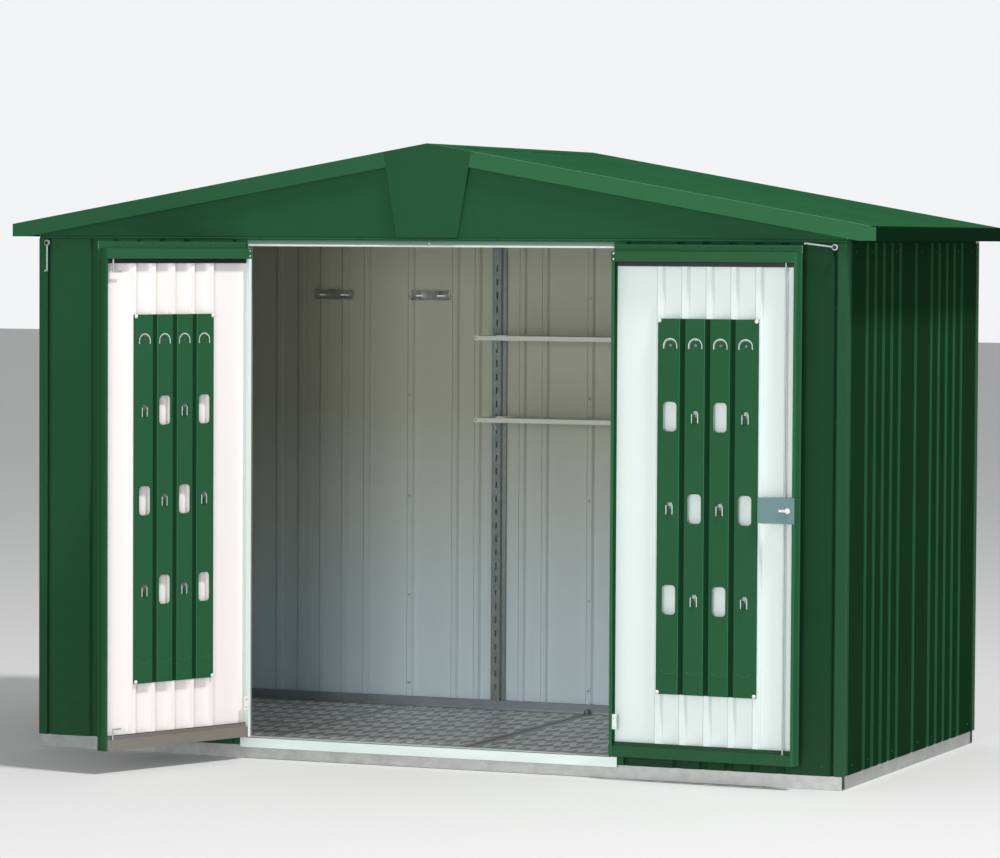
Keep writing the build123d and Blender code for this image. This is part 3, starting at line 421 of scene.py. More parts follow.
def add_piece(name, body, finish, verts, faces, smooth=False):
    """A mesh piece that moves with a body and takes one finish."""
    mesh = bpy.data.meshes.new(name)
    mesh.from_pydata([tuple(v) for v in verts], [], faces)
    mesh.validate()
    mesh.update()
    piece = bpy.data.objects.new(name, mesh)
    bpy.context.scene.collection.objects.link(piece)
    mesh.materials.append(FINISHES[finish])
    bm = bmesh.new()
    bm.from_mesh(mesh)
    bmesh.ops.recalc_face_normals(bm, faces=bm.faces)
    bm.to_mesh(mesh)
    bm.free()
    if smooth:
        mesh.shade_smooth()
    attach(piece, body)
    return piece


def facing(direction):
    """Two directions across a given one, and that one."""
    out = Vector(direction).normalized()
    up = Vector((0, 0, 1)) if abs(out.z) < 0.9 else Vector((1, 0, 0))
    across = up.cross(out).normalized()
    return across, out.cross(across).normalized(), out


def turned(verts, faces, centre, direction, profile, steps):
    """A round form made by turning a profile of radius and height about a direction."""
    across, up, out = facing(direction)
    start = len(verts)
    for radius, height in profile:
        for step in range(steps):
            angle = 2 * math.pi * step / steps
            ring = across * (radius * math.cos(angle)) + up * (radius * math.sin(angle))
            verts.append(Vector(centre) + ring + out * height)
    for ring in range(len(profile) - 1):
        for step in range(steps):
            a = start + ring * steps + step
            b = start + ring * steps + (step + 1) % steps
            faces.append((a, b, b + steps, a + steps))
    faces.append(tuple(start + step for step in range(steps))[::-1])
    last = start + (len(profile) - 1) * steps
    faces.append(tuple(last + step for step in range(steps)))


def fasteners(name, body, finish, spots, profile=SCREW_HEAD, scale=1.0):
    """Screw or rivet heads at given places, each with the direction it faces."""
    verts, faces = [], []
    scaled = [(radius * scale, height * scale) for radius, height in profile]
    for centre, direction in spots:
        turned(verts, faces, centre, direction, scaled, 12)
    return add_piece(name, body, finish, verts, faces, True)


def folded(name, body, finish, start, end, slot="zinc"):
    """A closed outline drawn from start to end: two lists of corners of the same length."""
    verts = [Vector(p) for p in start] + [Vector(p) for p in end]
    count = len(start)
    faces = [(i, (i + 1) % count, (i + 1) % count + count, i + count) for i in range(count)]
    faces += [tuple(range(count))[::-1], tuple(range(count, 2 * count))]
    return add_piece(name, body, finish, verts, faces, False)


def along_front(name, finish, face, foot, section, half, slot="green_sheet"):
    """A fixed trim along the front, with its section given outwards from a face and up from a foot."""
    ends = [[(x, face - out, foot + up) for out, up in section] for x in (-half, half)]
    return folded(name, "shed", finish, *ends, slot)


def block_into(verts, faces, corners):
    """Eight corners, the lower four and then the upper four, as a block."""
    start = len(verts)
    verts.extend(Vector(c) for c in corners)
    for face in ((3, 2, 1, 0), (4, 5, 6, 7), (0, 1, 5, 4), (1, 2, 6, 5), (2, 3, 7, 6), (3, 0, 4, 7)):
        faces.append(tuple(start + i for i in face))


def leaf_block(verts, faces, side, s0, s1, d0, d1, z0, z1):
    """A block with its sides along a leaf."""
    corners = []
    for z in (z0, z1):
        for s, d in ((s0, d0), (s1, d0), (s1, d1), (s0, d1)):
            corners.append(leaf_to_shed(side, s, d, z))
    block_into(verts, faces, corners)


def soften(piece, width):
    """Rounded edges for a thin plate."""
    edge = piece.modifiers.new("edges", "BEVEL")
    edge.width = width
    edge.segments = 1
    edge.limit_method = "ANGLE"
    edge.angle_limit = math.radians(40)


def by_face(node, finishes, choose):
    """Gives each face of a CAD piece one of the finishes, by its middle and the way that it looks."""
    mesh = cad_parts[node].data
    mesh.materials.clear()
    for finish in finishes:
        mesh.materials.append(FINISHES[finish])
    for face in mesh.polygons:
        face.material_index = int(choose(face.center, face.normal))


def two_sided(node, outside, inside, inward):
    """Gives the faces of a CAD sheet that look inwards one finish and the others another."""
    way = Vector(inward).normalized()
    by_face(node, (outside, inside), lambda middle, normal: normal.dot(way) > 0.08)


def one_finish(node, finish):
    """Gives a whole CAD piece one finish."""
    by_face(node, (finish,), lambda middle, normal: 0)


# What the user may change


class ShedLook(bpy.types.PropertyGroup):
    green: bpy.props.FloatVectorProperty(
        name="Green", description="Coat of the walls and frames", subtype="COLOR", size=4, min=0, max=1,
        default=(0.0205, 0.089, 0.0375, 1))
    roof: bpy.props.FloatVectorProperty(
        name="Roof", description="Coat of the roof sheets", subtype="COLOR", size=4, min=0, max=1,
        default=(0.0205, 0.097, 0.0395, 1))
    # Painted light: a cool, sky-lit tint of the leaves' white coat.
    white: bpy.props.FloatVectorProperty(
        name="Skylit white", description="Coat on the inside of the right leaf", subtype="COLOR", size=4, min=0,
        max=1, default=(0.77, 0.86, 0.83, 1))
    # Painted light: a warm, sunlit tint of the leaves' white coat.
    sunlit_white: bpy.props.FloatVectorProperty(
        name="Sunlit white", description="Coat on the inside of the left leaf", subtype="COLOR", size=4, min=0,
        max=1, default=(0.90, 0.85, 0.83, 1))
    inside: bpy.props.FloatVectorProperty(
        name="Inside", description="Coat on the inside of the walls", subtype="COLOR", size=4, min=0, max=1,
        default=(0.49, 0.50, 0.41, 1))
    # Painted light: the grey-brown tone of the left leaf's lower rail in strong light.
    sunlit_taupe: bpy.props.FloatVectorProperty(
        name="Sunlit taupe", description="Primer of the left leaf's lower rail", subtype="COLOR", size=4, min=0,
        max=1, default=(0.21, 0.20, 0.175, 1))
    aluminium: bpy.props.FloatVectorProperty(
        name="Floor", description="Tread plate of the floor", subtype="COLOR", size=4, min=0, max=1,
        default=(0.62, 0.63, 0.66, 1))
    zinc: bpy.props.FloatVectorProperty(
        name="Zinc", description="Screws, hinge lugs, tool hangers and lock lever", subtype="COLOR", size=4,
        min=0, max=1, default=(0.66, 0.68, 0.67, 1))
    lock_grey: bpy.props.FloatVectorProperty(
        name="Lock case", description="Coat of the lock case", subtype="COLOR", size=4, min=0, max=1,
        default=(0.17, 0.27, 0.28, 1))


class ShedSizes(bpy.types.PropertyGroup):
    tread_pitch: bpy.props.FloatProperty(
        name="Tread pitch", description="Distance between tread bars side by side", subtype="DISTANCE",
        unit="LENGTH", default=0.058, min=0.03, max=0.12)
    tread_row: bpy.props.FloatProperty(
        name="Tread row", description="Distance from one row of bars to the next", subtype="DISTANCE",
        unit="LENGTH", default=0.14, min=0.05, max=0.25)
    screw_scale: bpy.props.FloatProperty(
        name="Screw size", description="Size of the screw heads, 1 is as usual", default=1.0, min=0.5,
        max=2.0)


# Wall and roof sheets with the coat outside and the way that their inside looks
SHEETS = (
    ("front_wall_left", "green", (0, 1, 0)),
    ("front_wall_right", "shade_green", (0, 1, 0)),
    ("rear_wall", "green", (0, -1, 0)),
    ("left_wall", "green", (1, 0, 0)),
    ("roof_left", "roof", (0, 0, -1)),
    ("roof_right", "roof", (0, 0, -1)),
    ("front_gable", "green", (0, 1, 0)),
    ("rear_gable", "green", (0, -1, 0)),
)

# Finishes that cover whole nodes
WHOLE_NODES = {
    "green": ("corner_posts", "front_header", "front_gable_plate", "rear_gable_plate",
              "right_door_bottom_rail"),
    # Painted light: the rear verges take the lighter, lit copy of the green.
    "trim": ("rear_verges",),
    "eave": ("eave_trims",),
    # Painted shade on the eave trims.
    "roof": ("ridge_cap",),
    # Painted light: lighter copies of the green on the box rails and the tool panels.
    "box": ("left_door_top_rail", "right_door_top_rail"),
    "panel": ("left_tool_panel", "right_tool_panel"),
    "sunlit_taupe": ("left_door_bottom_rail",),
    "inside": ("ridge_beam", "head_beam"),
    "base": ("base_frame",),
    "border": ("bottom_track",),
    "tread": ("floor_plates",),
    "sill": ("door_sill", "sill_strip"),
    "head": ("head_rail",),
    "rail": ("shelf_rails",),
    "shelf": ("upper_shelf", "upper_shelf_brackets", "lower_shelf", "lower_shelf_brackets"),
    "lock": ("lock_case",),
    "zinc": ("tool_hangers", "hinge_lugs", "lock_lever"),
    "rod": ("upper_lock_rod", "lower_lock_rod", "left_top_bolt", "left_bottom_bolt", "left_stay",
            "right_stay"),
}


class SHED_OT_finishes(bpy.types.Operator):
    """Give every CAD sheet and bar its coat"""
    bl_idname = "shed.finishes"
    bl_label = "Coats"

    def execute(self, context):
        look = context.scene.shed_look
        make_green_finishes(look)
        make_sheet_finishes(look)
        make_other_finishes(look)
        for node, outside, inward in SHEETS:
            two_sided(node, outside, "inside", inward)
        for finish, nodes in WHOLE_NODES.items():
            for node in nodes:
                one_finish(node, finish)
        self.coat_leaves()
        self.coat_edges()
        return {"FINISHED"}

    def coat_leaves(self):
        """The leaves' one white coat in two painted-light tints, warm and sunlit on the left leaf, cool and
        sky-lit on the right; the right leaf's stiles take a lit copy of the green.
        """
        two_sided("left_door_skin", "green", "sunlit_white", leaf_direction(-1, 0, 1, 0))
        two_sided("right_door_skin", "green", "white", leaf_direction(1, 0, 1, 0))
        start, end = HINGE_STILE
        by_face("left_door_stiles", ("green", "white"),
                lambda middle, normal: start < along_leaf(-1, middle) < end)
        one_finish("right_door_stiles", "stile")

    def coat_edges(self):
        """Pieces whose faces differ by the way that they look or by the side of the shed."""
        # Painted shade on the right side wall, painted highlight on its rib flanks that face the front.
        by_face("right_wall", ("shaded_side_green", "inside", "lit_rib_green"),
                lambda middle, normal: 1 if normal.x < -0.08 else 2 if normal.y < -0.3 else 0)
        # Painted light: the right front verge takes the lighter of two lit copies of the green.
        by_face("front_verges", ("trim", "lit_trim_right"), lambda middle, normal: middle.x > 0)
        by_face("door_jambs", ("green", "jamb"), lambda middle, normal: normal.x * middle.x < -0.3)
        by_face("top_rails", ("inside", "shaded_side_green"),
                lambda middle, normal: (normal.y if middle.y > REAR_RAIL else normal.x * middle.x) > 0.3)
        # Painted shade: the outer end of each stay pin is black, as the shade inside the stay's eye.
        by_face("stay_pins", ("rod", "green", "black"),
                lambda middle, normal: 1 if middle.y > PIN_FOOT else 2 if normal.y < -0.9 else 0)


class SHED_OT_wall_screws(bpy.types.Operator):
    """Screw the wall sheets to the posts, the header and the base"""
    bl_idname = "shed.wall_screws"
    bl_label = "Wall screws"

    def execute(self, context):
        size = context.scene.shed_sizes.screw_scale
        self.rivets("front_wall_screws", self.front_spots(), size)
        for side, name in ((-1, "left"), (1, "right")):
            self.rivets(name + "_wall_screws", self.side_spots(side), size)
        backward = (0, 1, 0)
        seams = [MODULE * count + SEAM_SHIFT for count in (-1, 0, 1)]
        post_row = SIDE - POST - SCREW_INSET
        heights = (REAR_FOOT, *ROW_HEIGHTS)
        rows = (-post_row, *seams, post_row)
        spots = [((x, REAR - RIB_DEPTH, z), backward) for x in rows for z in heights]
        self.rivets("rear_wall_screws", spots, size)
        inward = (0, -1, 0)
        spots = [((x, REAR - RIB_DEPTH - SHEET, z), inward) for x in seams for z in heights]
        fasteners("rear_wall_nuts", "shed", "zinc", spots, SCREW_HEAD, 0.8)
        return {"FINISHED"}

    def rivets(self, name, spots, size):
        """Painted rivet heads on the walls."""
        fasteners(name, "shed", "green", spots, RIVET_HEAD, size)

    def front_spots(self):
        """Beside the corner posts, at the foot and the head of the front walls, and along the gable."""
        spots = []
        forward = (0, -1, 0)
        for side in (-1, 1):
            for z in (WALL_FOOT, *ROW_HEIGHTS, POST_HEAD):
                spots.append(((side * (SIDE - POST - SCREW_INSET), FRONT + RIB_DEPTH, z), forward))
            for z in (WALL_FOOT, WALL_HEAD):
                for x in FRONT_PANS:
                    spots.append(((side * x, FRONT, z), forward))
            for x in GABLE_PLACES:
                spots.append(((side * x, FRONT, GABLE_ROW), forward))
        return spots

    def side_spots(self, side):
        """At the foot and the head of a side wall, beside its posts and along its middle seam."""
        spots = []
        outward = (side, 0, 0)
        for z in (WALL_FOOT, WALL_HEAD):
            for y in SIDE_PANS:
                spots.append(((side * SIDE, y, z), outward))
        for y in (FRONT + POST + SCREW_INSET, 0.0, REAR - POST - SCREW_INSET):
            for z in (WALL_FOOT, *ROW_HEIGHTS):
                spots.append(((side * (SIDE - RIB_DEPTH), y, z), outward))
        return spots


class SHED_OT_doorway_trim(bpy.types.Operator):
    """Bead under the gable, lip and screw of the rail over the doorway, edge of the sill"""
    bl_idname = "shed.doorway_trim"
    bl_label = "Doorway trim"

    def execute(self, context):
        bead = []
        for step in range(BEAD_STEPS + 1):
            angle = math.pi * step / BEAD_STEPS
            bead.append((BEAD_BULGE * math.sin(angle), -BEAD_HALF * math.cos(angle)))
        # The bead and the sill edge take the lit copy of the green.
        along_front("header_bead", "trim", HEADER_FACE, BEAD_MIDDLE, bead, SIDE - 0.002)
        along_front("head_rail_lip", "lip", HEADER_FACE, LIP_FOOT, LIP_SECTION, DOORWAY_HALF, "zinc")
        spots = [((HEAD_SCREW_X, HEADER_FACE, HEAD_SCREW_Z), (0, -1, 0))]
        fasteners("head_rail_screw", "shed", "zinc", spots, RIVET_HEAD, 0.8)
        along_front("sill_edge", "trim", FRONT, SILL_TOP, SILL_EDGE_SECTION, DOORWAY_HALF)
        return {"FINISHED"}


class SHED_OT_floor(bpy.types.Operator):
    """Raise the tread bars of the floor plates and fasten the seam between them"""
    bl_idname = "shed.floor"
    bl_label = "Floor treads"

    def execute(self, context):
        low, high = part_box("floor_plates")
        self.make_treads(context.scene.shed_sizes, low, high)
        seam = [[(SEAM_X + across, y, high.z + up) for across, up in SEAM_SECTION]
                for y in (low.y + 0.01, high.y - 0.03)]
        folded("floor_seam", "shed", "black", *seam)
        upward = (0, 0, 1)
        spots = [((x + PLATE_SCREW_SHIFT, y, high.z), upward)
                 for x in (-MODULE, MODULE) for y in PLATE_SCREW_ROWS]
        spots.append(((SEAM_X, high.y + 0.010, TRACK_TOP), upward))
        fasteners("floor_screws", "shed", "zinc", spots, SCREW_HEAD, 1.1)
        verts, faces = [], []
        turned(verts, faces, (SEAM_X, high.y - 0.018, high.z), upward, KNOB, 20)
        add_piece("floor_seam_knob", "shed", "rail", verts, faces, True)
        return {"FINISHED"}

    def make_treads(self, sizes, low, high):
        """Raised bars in two directions, as a net of long diamonds, with plain metal along the seams."""
        pitch = sizes.tread_pitch
        row_step = sizes.tread_row
        verts, faces = [], []
        rows = int((high.y - low.y - TREAD_BORDER) / row_step)
        columns = int((high.x - low.x) / pitch) + 1
        first_y = high.y - SEAM_CLEAR - rows * row_step
        seams = (-MODULE, SEAM_X, MODULE, low.x, high.x)
        for row in range(rows):
            for column in range(columns):
                for hand in (-1, 1):
                    x = low.x + (column + 0.5 * (row % 2) + 0.25 * hand) * pitch
                    if low.x < x < high.x and min(abs(x - seam) for seam in seams) >= SEAM_CLEAR:
                        run = Vector((hand * pitch / 2, row_step, 0))
                        self.bar(verts, faces, Vector((x, first_y + (row + 0.5) * row_step, high.z)), run)
        add_piece("floor_treads", "shed", "highlit_tread_bar", verts, faces, False)

    def bar(self, verts, faces, mid, run):
        """One lens-shaped bar along a run."""
        along = run * TREAD_REACH
        shoulder = along * TREAD_SHOULDER
        across = Vector((-run.y, run.x, 0)).normalized() * TREAD_HALF
        rise = Vector((0, 0, TREAD_RISE))
        start = len(verts)
        verts += [mid + along, mid + shoulder + across, mid - shoulder + across, mid - along,
                  mid - shoulder - across, mid + shoulder - across, mid + shoulder + rise,
                  mid - shoulder + rise]
        for face in ((0, 1, 6), (1, 2, 7, 6), (2, 3, 7), (3, 4, 7), (4, 5, 6, 7), (5, 0, 6)):
            faces.append(tuple(start + i for i in face))


# Outlines of the tool panels, in s along the leaf and z up


def panel_columns():
    """The middle of each of the four columns."""
    return [PANEL_MID + (column - 1.5) * COLUMN_PITCH for column in range(4)]


def panel_places():
    """Each crossing of a row and a column, with whether a large slot is there and not a tongue."""
    places = []
    for row in range(3):
        for column, s in enumerate(panel_columns()):
            places.append((s, ROW_MIDDLE + (1 - row) * ROW_PITCH, (column + row) % 2 == 0))
    return places


def tongue_places():
    """The middle of each tongue."""
    return [(s, z) for s, z, large in panel_places() if not large]


def slot_points(mid_s, mid_z, steps=5):
    """The outline of a large upright slot with rounded corners."""
    points = []
    for quarter in range(4):
        across = 1 if quarter in (0, 3) else -1
        rise = 1 if quarter < 2 else -1
        for step in range(steps + 1):
            angle = math.pi / 2 * (quarter + step / steps)
            points.append((mid_s + across * (SLOT_W / 2 - SLOT_CORNER) + SLOT_CORNER * math.cos(angle),
                           mid_z + rise * (SLOT_H / 2 - SLOT_CORNER) + SLOT_CORNER * math.sin(angle)))
    return points


def arch_points(mid_s, inset, steps=10):
    """A hoop's arch from its left foot to its right foot, drawn in from its outside by an inset."""
    half = HOOP_HALF - inset
    centre = HOOP_TOP - HOOP_HALF
    points = [(mid_s - half, centre - HOOP_LEG)]
    for step in range(steps + 1):
        angle = math.pi * (1 - step / steps)
        points.append((mid_s + half * math.cos(angle), centre + half * math.sin(angle)))
    return points + [(mid_s + half, centre - HOOP_LEG)]


def round_points(mid_s, mid_z, radius, steps=12):
    """A round hole."""
    angles = [2 * math.pi * step / steps for step in range(steps)]
    return [(mid_s + radius * math.cos(angle), mid_z + radius * math.sin(angle)) for angle in angles]


def panel_profile():
    """Section of a tool panel in s and d: four broad columns with a narrow groove between each two."""
    left = PANEL_MID - PANEL_HALF
    right = PANEL_MID + PANEL_HALF
    points = [(left, CREST_CLEAR), (left, PANEL_FACE - PANEL_CORNER), (left + PANEL_CORNER, PANEL_FACE)]
    for groove in (-1, 0, 1):
        mid = PANEL_MID + groove * COLUMN_PITCH
        points += [(mid + across, PANEL_FACE - deep) for across, deep in GROOVE_SECTION]
    points += [(right - PANEL_CORNER, PANEL_FACE), (right, PANEL_FACE - PANEL_CORNER), (right, CREST_CLEAR)]
    return points


class SHED_OT_tool_panels(bpy.types.Operator):
    """Press the grooves, slots, tongues and hoops of the two tool panels"""
    bl_idname = "shed.tool_panels"
    bl_label = "Tool panels"

    def execute(self, context):
        for side, name in ((-1, "left"), (1, "right")):
            body = name + "_door"
            sheet = self.make_sheet(side, name, body)
            self.cut_sheet(side, name, body, sheet)
            self.shade_grooves(side, sheet.data)
            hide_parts(name + "_tool_panel")
            self.make_tongues(side, name, body)
            self.make_rims(side, name, body)
            self.make_marks(side, name, body)
        return {"FINISHED"}

    def make_sheet(self, side, name, body):
        """The folded sheet, still without its holes."""
        profile = panel_profile()
        inner = []
        for index, (s, d) in enumerate(profile):
            lean = 0
            if index < 3:
                lean = PANEL_SHEET
            if index >= len(profile) - 3:
                lean = -PANEL_SHEET
            inner.append((s + lean, max(d - PANEL_SHEET, CREST_CLEAR)))
        section = profile + inner[::-1]
        verts = [leaf_to_shed(side, s, d, z) for z in (PANEL_LOW, PANEL_HIGH) for s, d in section]
        count = len(section)
        faces = [(i, (i + 1) % count, (i + 1) % count + count, i + count) for i in range(count)]
        for base, flip in ((0, 1), (count, -1)):
            for i in range(count // 2 - 1):
                quad = (base + i, base + i + 1, base + count - 2 - i, base + count - 1 - i)
                faces.append(quad[::flip])
        return add_piece(name + "_tool_panel_sheet", body, "panel", verts, faces, False)

    def cut_sheet(self, side, name, body, sheet):
        """Cuts the holes with one set of plugs."""
        verts, faces = [], []
        for outline in self.cut_outlines():
            first = len(verts)
            for d in (PANEL_FACE - CUT_DEPTH, PANEL_FACE + CUT_DEPTH):
                verts += [leaf_to_shed(side, s, d, z) for s, z in outline]
            count = len(outline)
            for i in range(count):
                j = (i + 1) % count
                faces.append((first + i, first + j, first + count + j, first + count + i))
            faces.append(tuple(first + i for i in range(count))[::-1])
            faces.append(tuple(first + count + i for i in range(count)))
        cutter = add_piece(name + "_panel_cutter", body, "panel", verts, faces, False)
        cut = sheet.modifiers.new("cuts", "BOOLEAN")
        cut.operation = "DIFFERENCE"
        cut.solver = "EXACT"
        cut.object = cutter
        bpy.context.view_layer.objects.active = sheet
        sheet.select_set(True)
        bpy.ops.object.modifier_apply(modifier="cuts")
        sheet.select_set(False)
        bpy.data.objects.remove(cutter)

    def cut_outlines(self):
        """Large slots, tongue holes, hoops and round holes."""
        outlines = []
        for s, z, large in panel_places():
            if large:
                outlines.append(slot_points(s, z))
            else:
                outlines.append([(s + across, z + up) for across, up in TONGUE_HOLE])
        for s in panel_columns():
            outlines.append(arch_points(s, 0) + arch_points(s, HOOP_BAND)[::-1])
            outlines.append(round_points(s, HOOP_TOP - HOLE_DROP, HOLE_RADIUS))
        return outlines

    def shade_grooves(self, side, mesh):
        """Gives the grooves a painted shade and the fold beside each a painted highlight."""
        mesh.materials.append(FINISHES["groove"])
        mesh.materials.append(FINISHES["highlit_fold_line"])
        for face in mesh.polygons:
            s = along_leaf(side, face.center)
            for groove in (-1, 0, 1):
                beside = s - PANEL_MID - groove * COLUMN_PITCH
                if GROOVE_SPAN[0] < beside < GROOVE_SPAN[1]:
                    face.material_index = 1
                if FOLD_SPAN[0] < beside < FOLD_SPAN[1]:
                    face.material_index = 2

    def make_tongues(self, side, name, body):
        """A small hook in each tongue hole."""
        verts, faces = [], []
        for s, z in tongue_places():
            leaf_block(verts, faces, side, s - TONGUE_HALF, s + TONGUE_HALF, PANEL_FACE - CUT_DEPTH,
                       PANEL_FACE + CUT_DEPTH, z - 0.020, z - 0.002)
            leaf_block(verts, faces, side, s - TONGUE_HALF, s + TONGUE_HALF, PANEL_FACE + 0.003,
                       PANEL_FACE + 0.0045, z - 0.002, z + 0.008)
        add_piece(name + "_panel_tongues", body, "panel", verts, faces, False)

    def make_rims(self, side, name, body):
        """Bright rims round the hoops and beside the tongues: partly bare cut edges, partly painted light
        seen through the holes.
        """
        verts, faces = [], []
        for s in panel_columns():
            outer = arch_points(s, 0.0002)
            inner = arch_points(s, 0.0030)
            for i in range(len(outer) - 1):
                ring = (outer[i], outer[i + 1], inner[i + 1], inner[i])
                corners = [leaf_to_shed(side, a, d, z) for d in (RIM_LOW, RIM_HIGH) for a, z in ring]
                block_into(verts, faces, corners)
        for s, z in tongue_places():
            for edge in (s - RIM_SHIFT, s + RIM_SHIFT):
                leaf_block(verts, faces, side, edge - RIM_HALF, edge + RIM_HALF, RIM_LOW, RIM_HIGH,
                           z - 0.020, z + 0.010)
        add_piece(name + "_panel_lit_rims", body, "lip", verts, faces, False)

    def make_marks(self, side, name, body):
        """An arc of small pressings at the foot of each column and a clip at each corner."""
        out = leaf_direction(side, 0, 1, 0)
        spots = []
        for s in panel_columns():
            for dot in range(PRESSING_DOTS):
                angle = math.pi + math.pi * (dot + 0.5) / PRESSING_DOTS
                z = PRESSING_MIDDLE + 0.012 * math.sin(angle)
                spots.append((leaf_to_shed(side, s + 0.024 * math.cos(angle), PANEL_FACE, z), out))
        # The pressings take the lighter, painted-highlight copy of the green.
        fasteners(name + "_panel_pressings", body, "highlit_fold_line", spots, RIVET_HEAD, 0.55)
        spots = []
        for s in (PANEL_MID - PANEL_HALF + CLIP_INSET, PANEL_MID + PANEL_HALF - CLIP_INSET):
            for z in (PANEL_LOW + CLIP_INSET, PANEL_HIGH - CLIP_INSET):
                spots.append((leaf_to_shed(side, s, PANEL_FACE, z), out))
        fasteners(name + "_panel_clips", body, "clip", spots, SCREW_HEAD, 1.1)


class SHED_OT_leaf_fittings(bpy.types.Operator):
    """Screws, hinge plates and edge caps of the two leaves"""
    bl_idname = "shed.leaf_fittings"
    bl_label = "Leaf fittings"

    def execute(self, context):
        size = context.scene.shed_sizes.screw_scale
        # Each leaf's hinge plate takes that leaf's painted-light tint of white.
        for side, name, white in ((-1, "left", "sunlit_white"), (1, "right", "white")):
            body = name + "_door"
            out = leaf_direction(side, 0, 1, 0)
            spots = [(leaf_to_shed(side, s, FLANGE_FACE, FLANGE_ROW), out) for s in FLANGE_SCREWS]
            fasteners(name + "_flange_screws", body, "box", spots, RIVET_HEAD, 0.7 * size)
            # Painted shade: a black strip stands for the shaded gap under the top box.
            self.strip(side, body, name + "_box_recess", BOX_SHADE_GAP, 0.0018)
            self.plate(side, body, name + "_hinge_plate", white, *HINGE_PLATE)
            self.plate(side, body, name + "_box_end", "box", *BOX_END)
            verts, faces = [], []
            leaf_block(verts, faces, side, *FLANGE_END)
            soften(add_piece(name + "_flange_end", body, "box", verts, faces, False), 0.0002)
            spots = [(leaf_to_shed(side, s, LEAF_FACE + 0.0006, z), out) for s, z in PLATE_SCREWS]
            fasteners(name + "_hinge_screws", body, "zinc", spots, RIVET_HEAD, 0.9)
            # Painted shade: a black line stands for the shaded recess along the lower rail.
            self.strip(side, body, name + "_rail_seam", RAIL_SHADE_LINE, 0.0009)
        return {"FINISHED"}

    def plate(self, side, body, name, finish, along, heights):
        """A thin plate with soft edges on the inner face of a leaf's frame."""
        verts, faces = [], []
        leaf_block(verts, faces, side, *along, LEAF_FACE - 0.0007, LEAF_FACE + 0.0008, *heights)
        soften(add_piece(name, body, finish, verts, faces, False), 0.0006)

    def strip(self, side, body, name, heights, thick):
        """A dark strip along a leaf, thicker in its middle than at its edges, as painted shade in a gap and
        a recess.
        """
        low, high = heights
        slope = thick * 0.6
        section = [(0, low), (thick, low + slope), (thick, high - slope), (0, high)]
        ends = [[leaf_to_shed(side, s, CREST_CLEAR + d, z) for d, z in section] for s in BOX_ALONG]
        folded(name, body, "black", *ends)


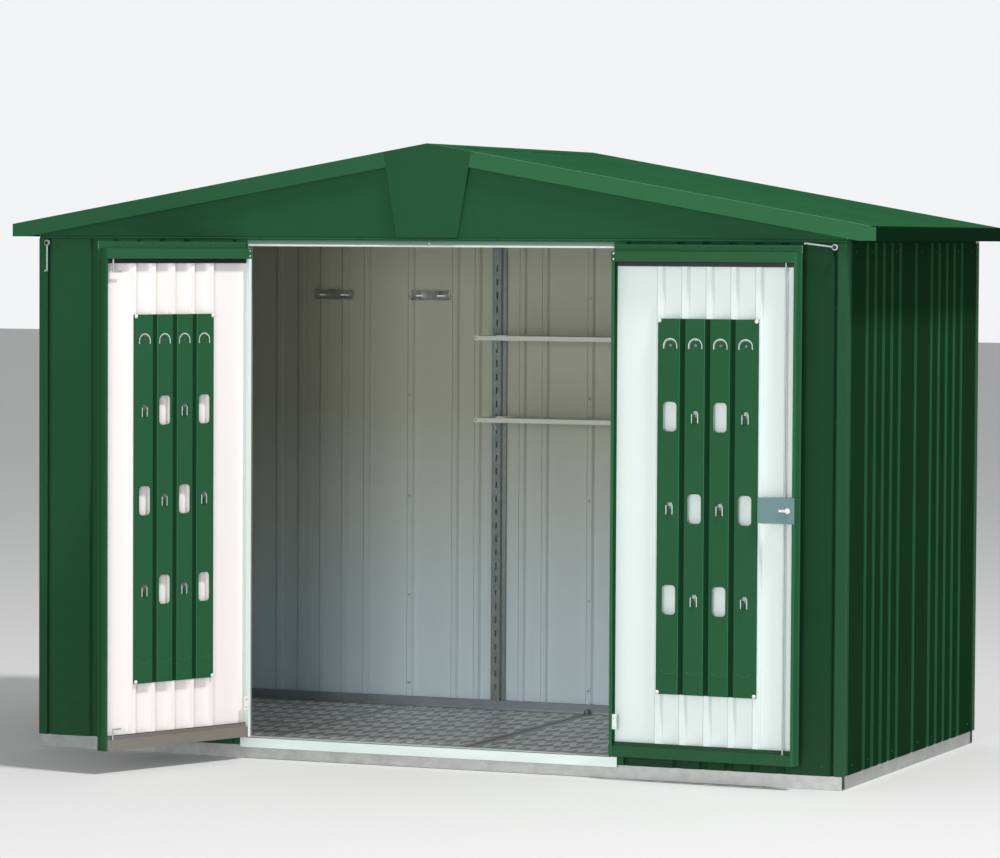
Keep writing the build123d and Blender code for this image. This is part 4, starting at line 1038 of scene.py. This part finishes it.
class SHED_OT_stage(bpy.types.Operator):
    """Floor, light and camera"""
    bl_idname = "shed.stage"
    bl_label = "Stage"

    def execute(self, context):
        self.ground(context.scene)
        self.world(context.scene)
        for lamp in LAMPS:
            self.lamp(context.scene, *lamp)
        self.camera(context.scene)
        context.scene.view_settings.view_transform = "Standard"
        return {"FINISHED"}

    def ground(self, scene):
        """A plain pale floor."""
        mesh = bpy.data.meshes.new("ground")
        corners = [(x * GROUND_REACH, y * GROUND_REACH, 0) for x, y in ((-1, -1), (1, -1), (1, 1), (-1, 1))]
        mesh.from_pydata(corners, [], [(0, 1, 2, 3)])
        ground = bpy.data.objects.new("ground", mesh)
        scene.collection.objects.link(ground)
        ground.location.z = -GROUND_DROP
        pale, _, shader = new_finish("pale_floor")
        shader.inputs["Base Color"].default_value = (0.72, 0.72, 0.71, 1)
        shader.inputs["Roughness"].default_value = 0.9
        mesh.materials.append(pale)

    def world(self, scene):
        """Even light from all round, in front of a paler backdrop."""
        world = bpy.data.worlds.new("studio")
        scene.world = world
        world.use_nodes = True
        tree = world.node_tree
        back = tree.nodes["Background"]
        path = tree.nodes.new("ShaderNodeLightPath")
        seen = tree.nodes.new("ShaderNodeMath")
        seen.operation = "MAXIMUM"
        tree.links.new(path.outputs["Is Camera Ray"], seen.inputs[0])
        tree.links.new(path.outputs["Is Glossy Ray"], seen.inputs[1])
        level = tree.nodes.new("ShaderNodeMapRange")
        level.inputs["To Min"].default_value = WORLD_LIGHT
        level.inputs["To Max"].default_value = BACKDROP_LIGHT
        tree.links.new(seen.outputs["Value"], level.inputs["Value"])
        tree.links.new(level.outputs["Result"], back.inputs["Strength"])
        back.inputs["Color"].default_value = (0.97, 0.98, 1.0, 1)

    def lamp(self, scene, name, place, target, size, power):
        """A square lamp that looks at a target."""
        light = bpy.data.lights.new(name, "AREA")
        light.size = size
        light.energy = power
        lamp = bpy.data.objects.new(name, light)
        scene.collection.objects.link(lamp)
        lamp.location = place
        lamp.rotation_euler = (Vector(target) - Vector(place)).to_track_quat("-Z", "Y").to_euler()

    def camera(self, scene):
        """The photograph's view."""
        yaw = math.radians(YAW)
        pitch = math.radians(PITCH)
        roll = math.radians(ROLL)
        data = bpy.data.cameras.new("photo_view")
        data.sensor_width = SENSOR
        data.lens = FOCAL_PIXELS * SENSOR / PICTURE_WIDTH
        data.clip_start = 0.5
        data.clip_end = 200
        eye = bpy.data.objects.new("photo_view", data)
        scene.collection.objects.link(eye)
        ahead = Vector((-math.sin(yaw), math.cos(yaw), 0))
        across = Vector((math.cos(yaw), math.sin(yaw), 0))
        up = Vector((0, 0, 1))
        look = ahead * math.cos(pitch) - up * math.sin(pitch)
        over = up * math.cos(pitch) + ahead * math.sin(pitch)
        right = across * math.cos(roll) + over * math.sin(roll)
        top = over * math.cos(roll) - across * math.sin(roll)
        turn = Matrix((right, top, -look)).transposed()
        eye.matrix_world = Matrix.Translation(EYE) @ turn.to_4x4()
        scene.camera = eye


PIECE_OPERATORS = (SHED_OT_finishes, SHED_OT_wall_screws, SHED_OT_doorway_trim, SHED_OT_floor,
                   SHED_OT_tool_panels, SHED_OT_leaf_fittings, SHED_OT_stage)


class SHED_PT_panel(bpy.types.Panel):
    """The shed's sizes, colours and pieces"""
    bl_idname = "SHED_PT_panel"
    bl_label = "Metal Garden Shed"
    bl_space_type = "VIEW_3D"
    bl_region_type = "UI"
    bl_category = "Shed"

    def draw(self, context):
        look = context.scene.shed_look
        sizes = context.scene.shed_sizes
        for name in ("green", "roof", "white", "sunlit_white", "inside", "sunlit_taupe", "aluminium", "zinc",
                     "lock_grey"):
            self.layout.prop(look, name)
        for name in ("tread_pitch", "tread_row", "screw_scale"):
            self.layout.prop(sizes, name)
        for operator in PIECE_OPERATORS:
            self.layout.operator(operator.bl_idname)


CLASSES = (ShedLook, ShedSizes) + PIECE_OPERATORS + (SHED_PT_panel,)


def register():
    for each in CLASSES:
        bpy.utils.register_class(each)
    bpy.types.Scene.shed_look = bpy.props.PointerProperty(type=ShedLook)
    bpy.types.Scene.shed_sizes = bpy.props.PointerProperty(type=ShedSizes)


def unregister():
    del bpy.types.Scene.shed_sizes
    del bpy.types.Scene.shed_look
    for each in reversed(CLASSES):
        bpy.utils.unregister_class(each)


def main():
    register()
    bpy.ops.shed.finishes()
    bpy.ops.shed.wall_screws()
    bpy.ops.shed.doorway_trim()
    bpy.ops.shed.floor()
    bpy.ops.shed.tool_panels()
    bpy.ops.shed.leaf_fittings()
    bpy.ops.shed.stage()


if __name__ == "__main__":
    main()
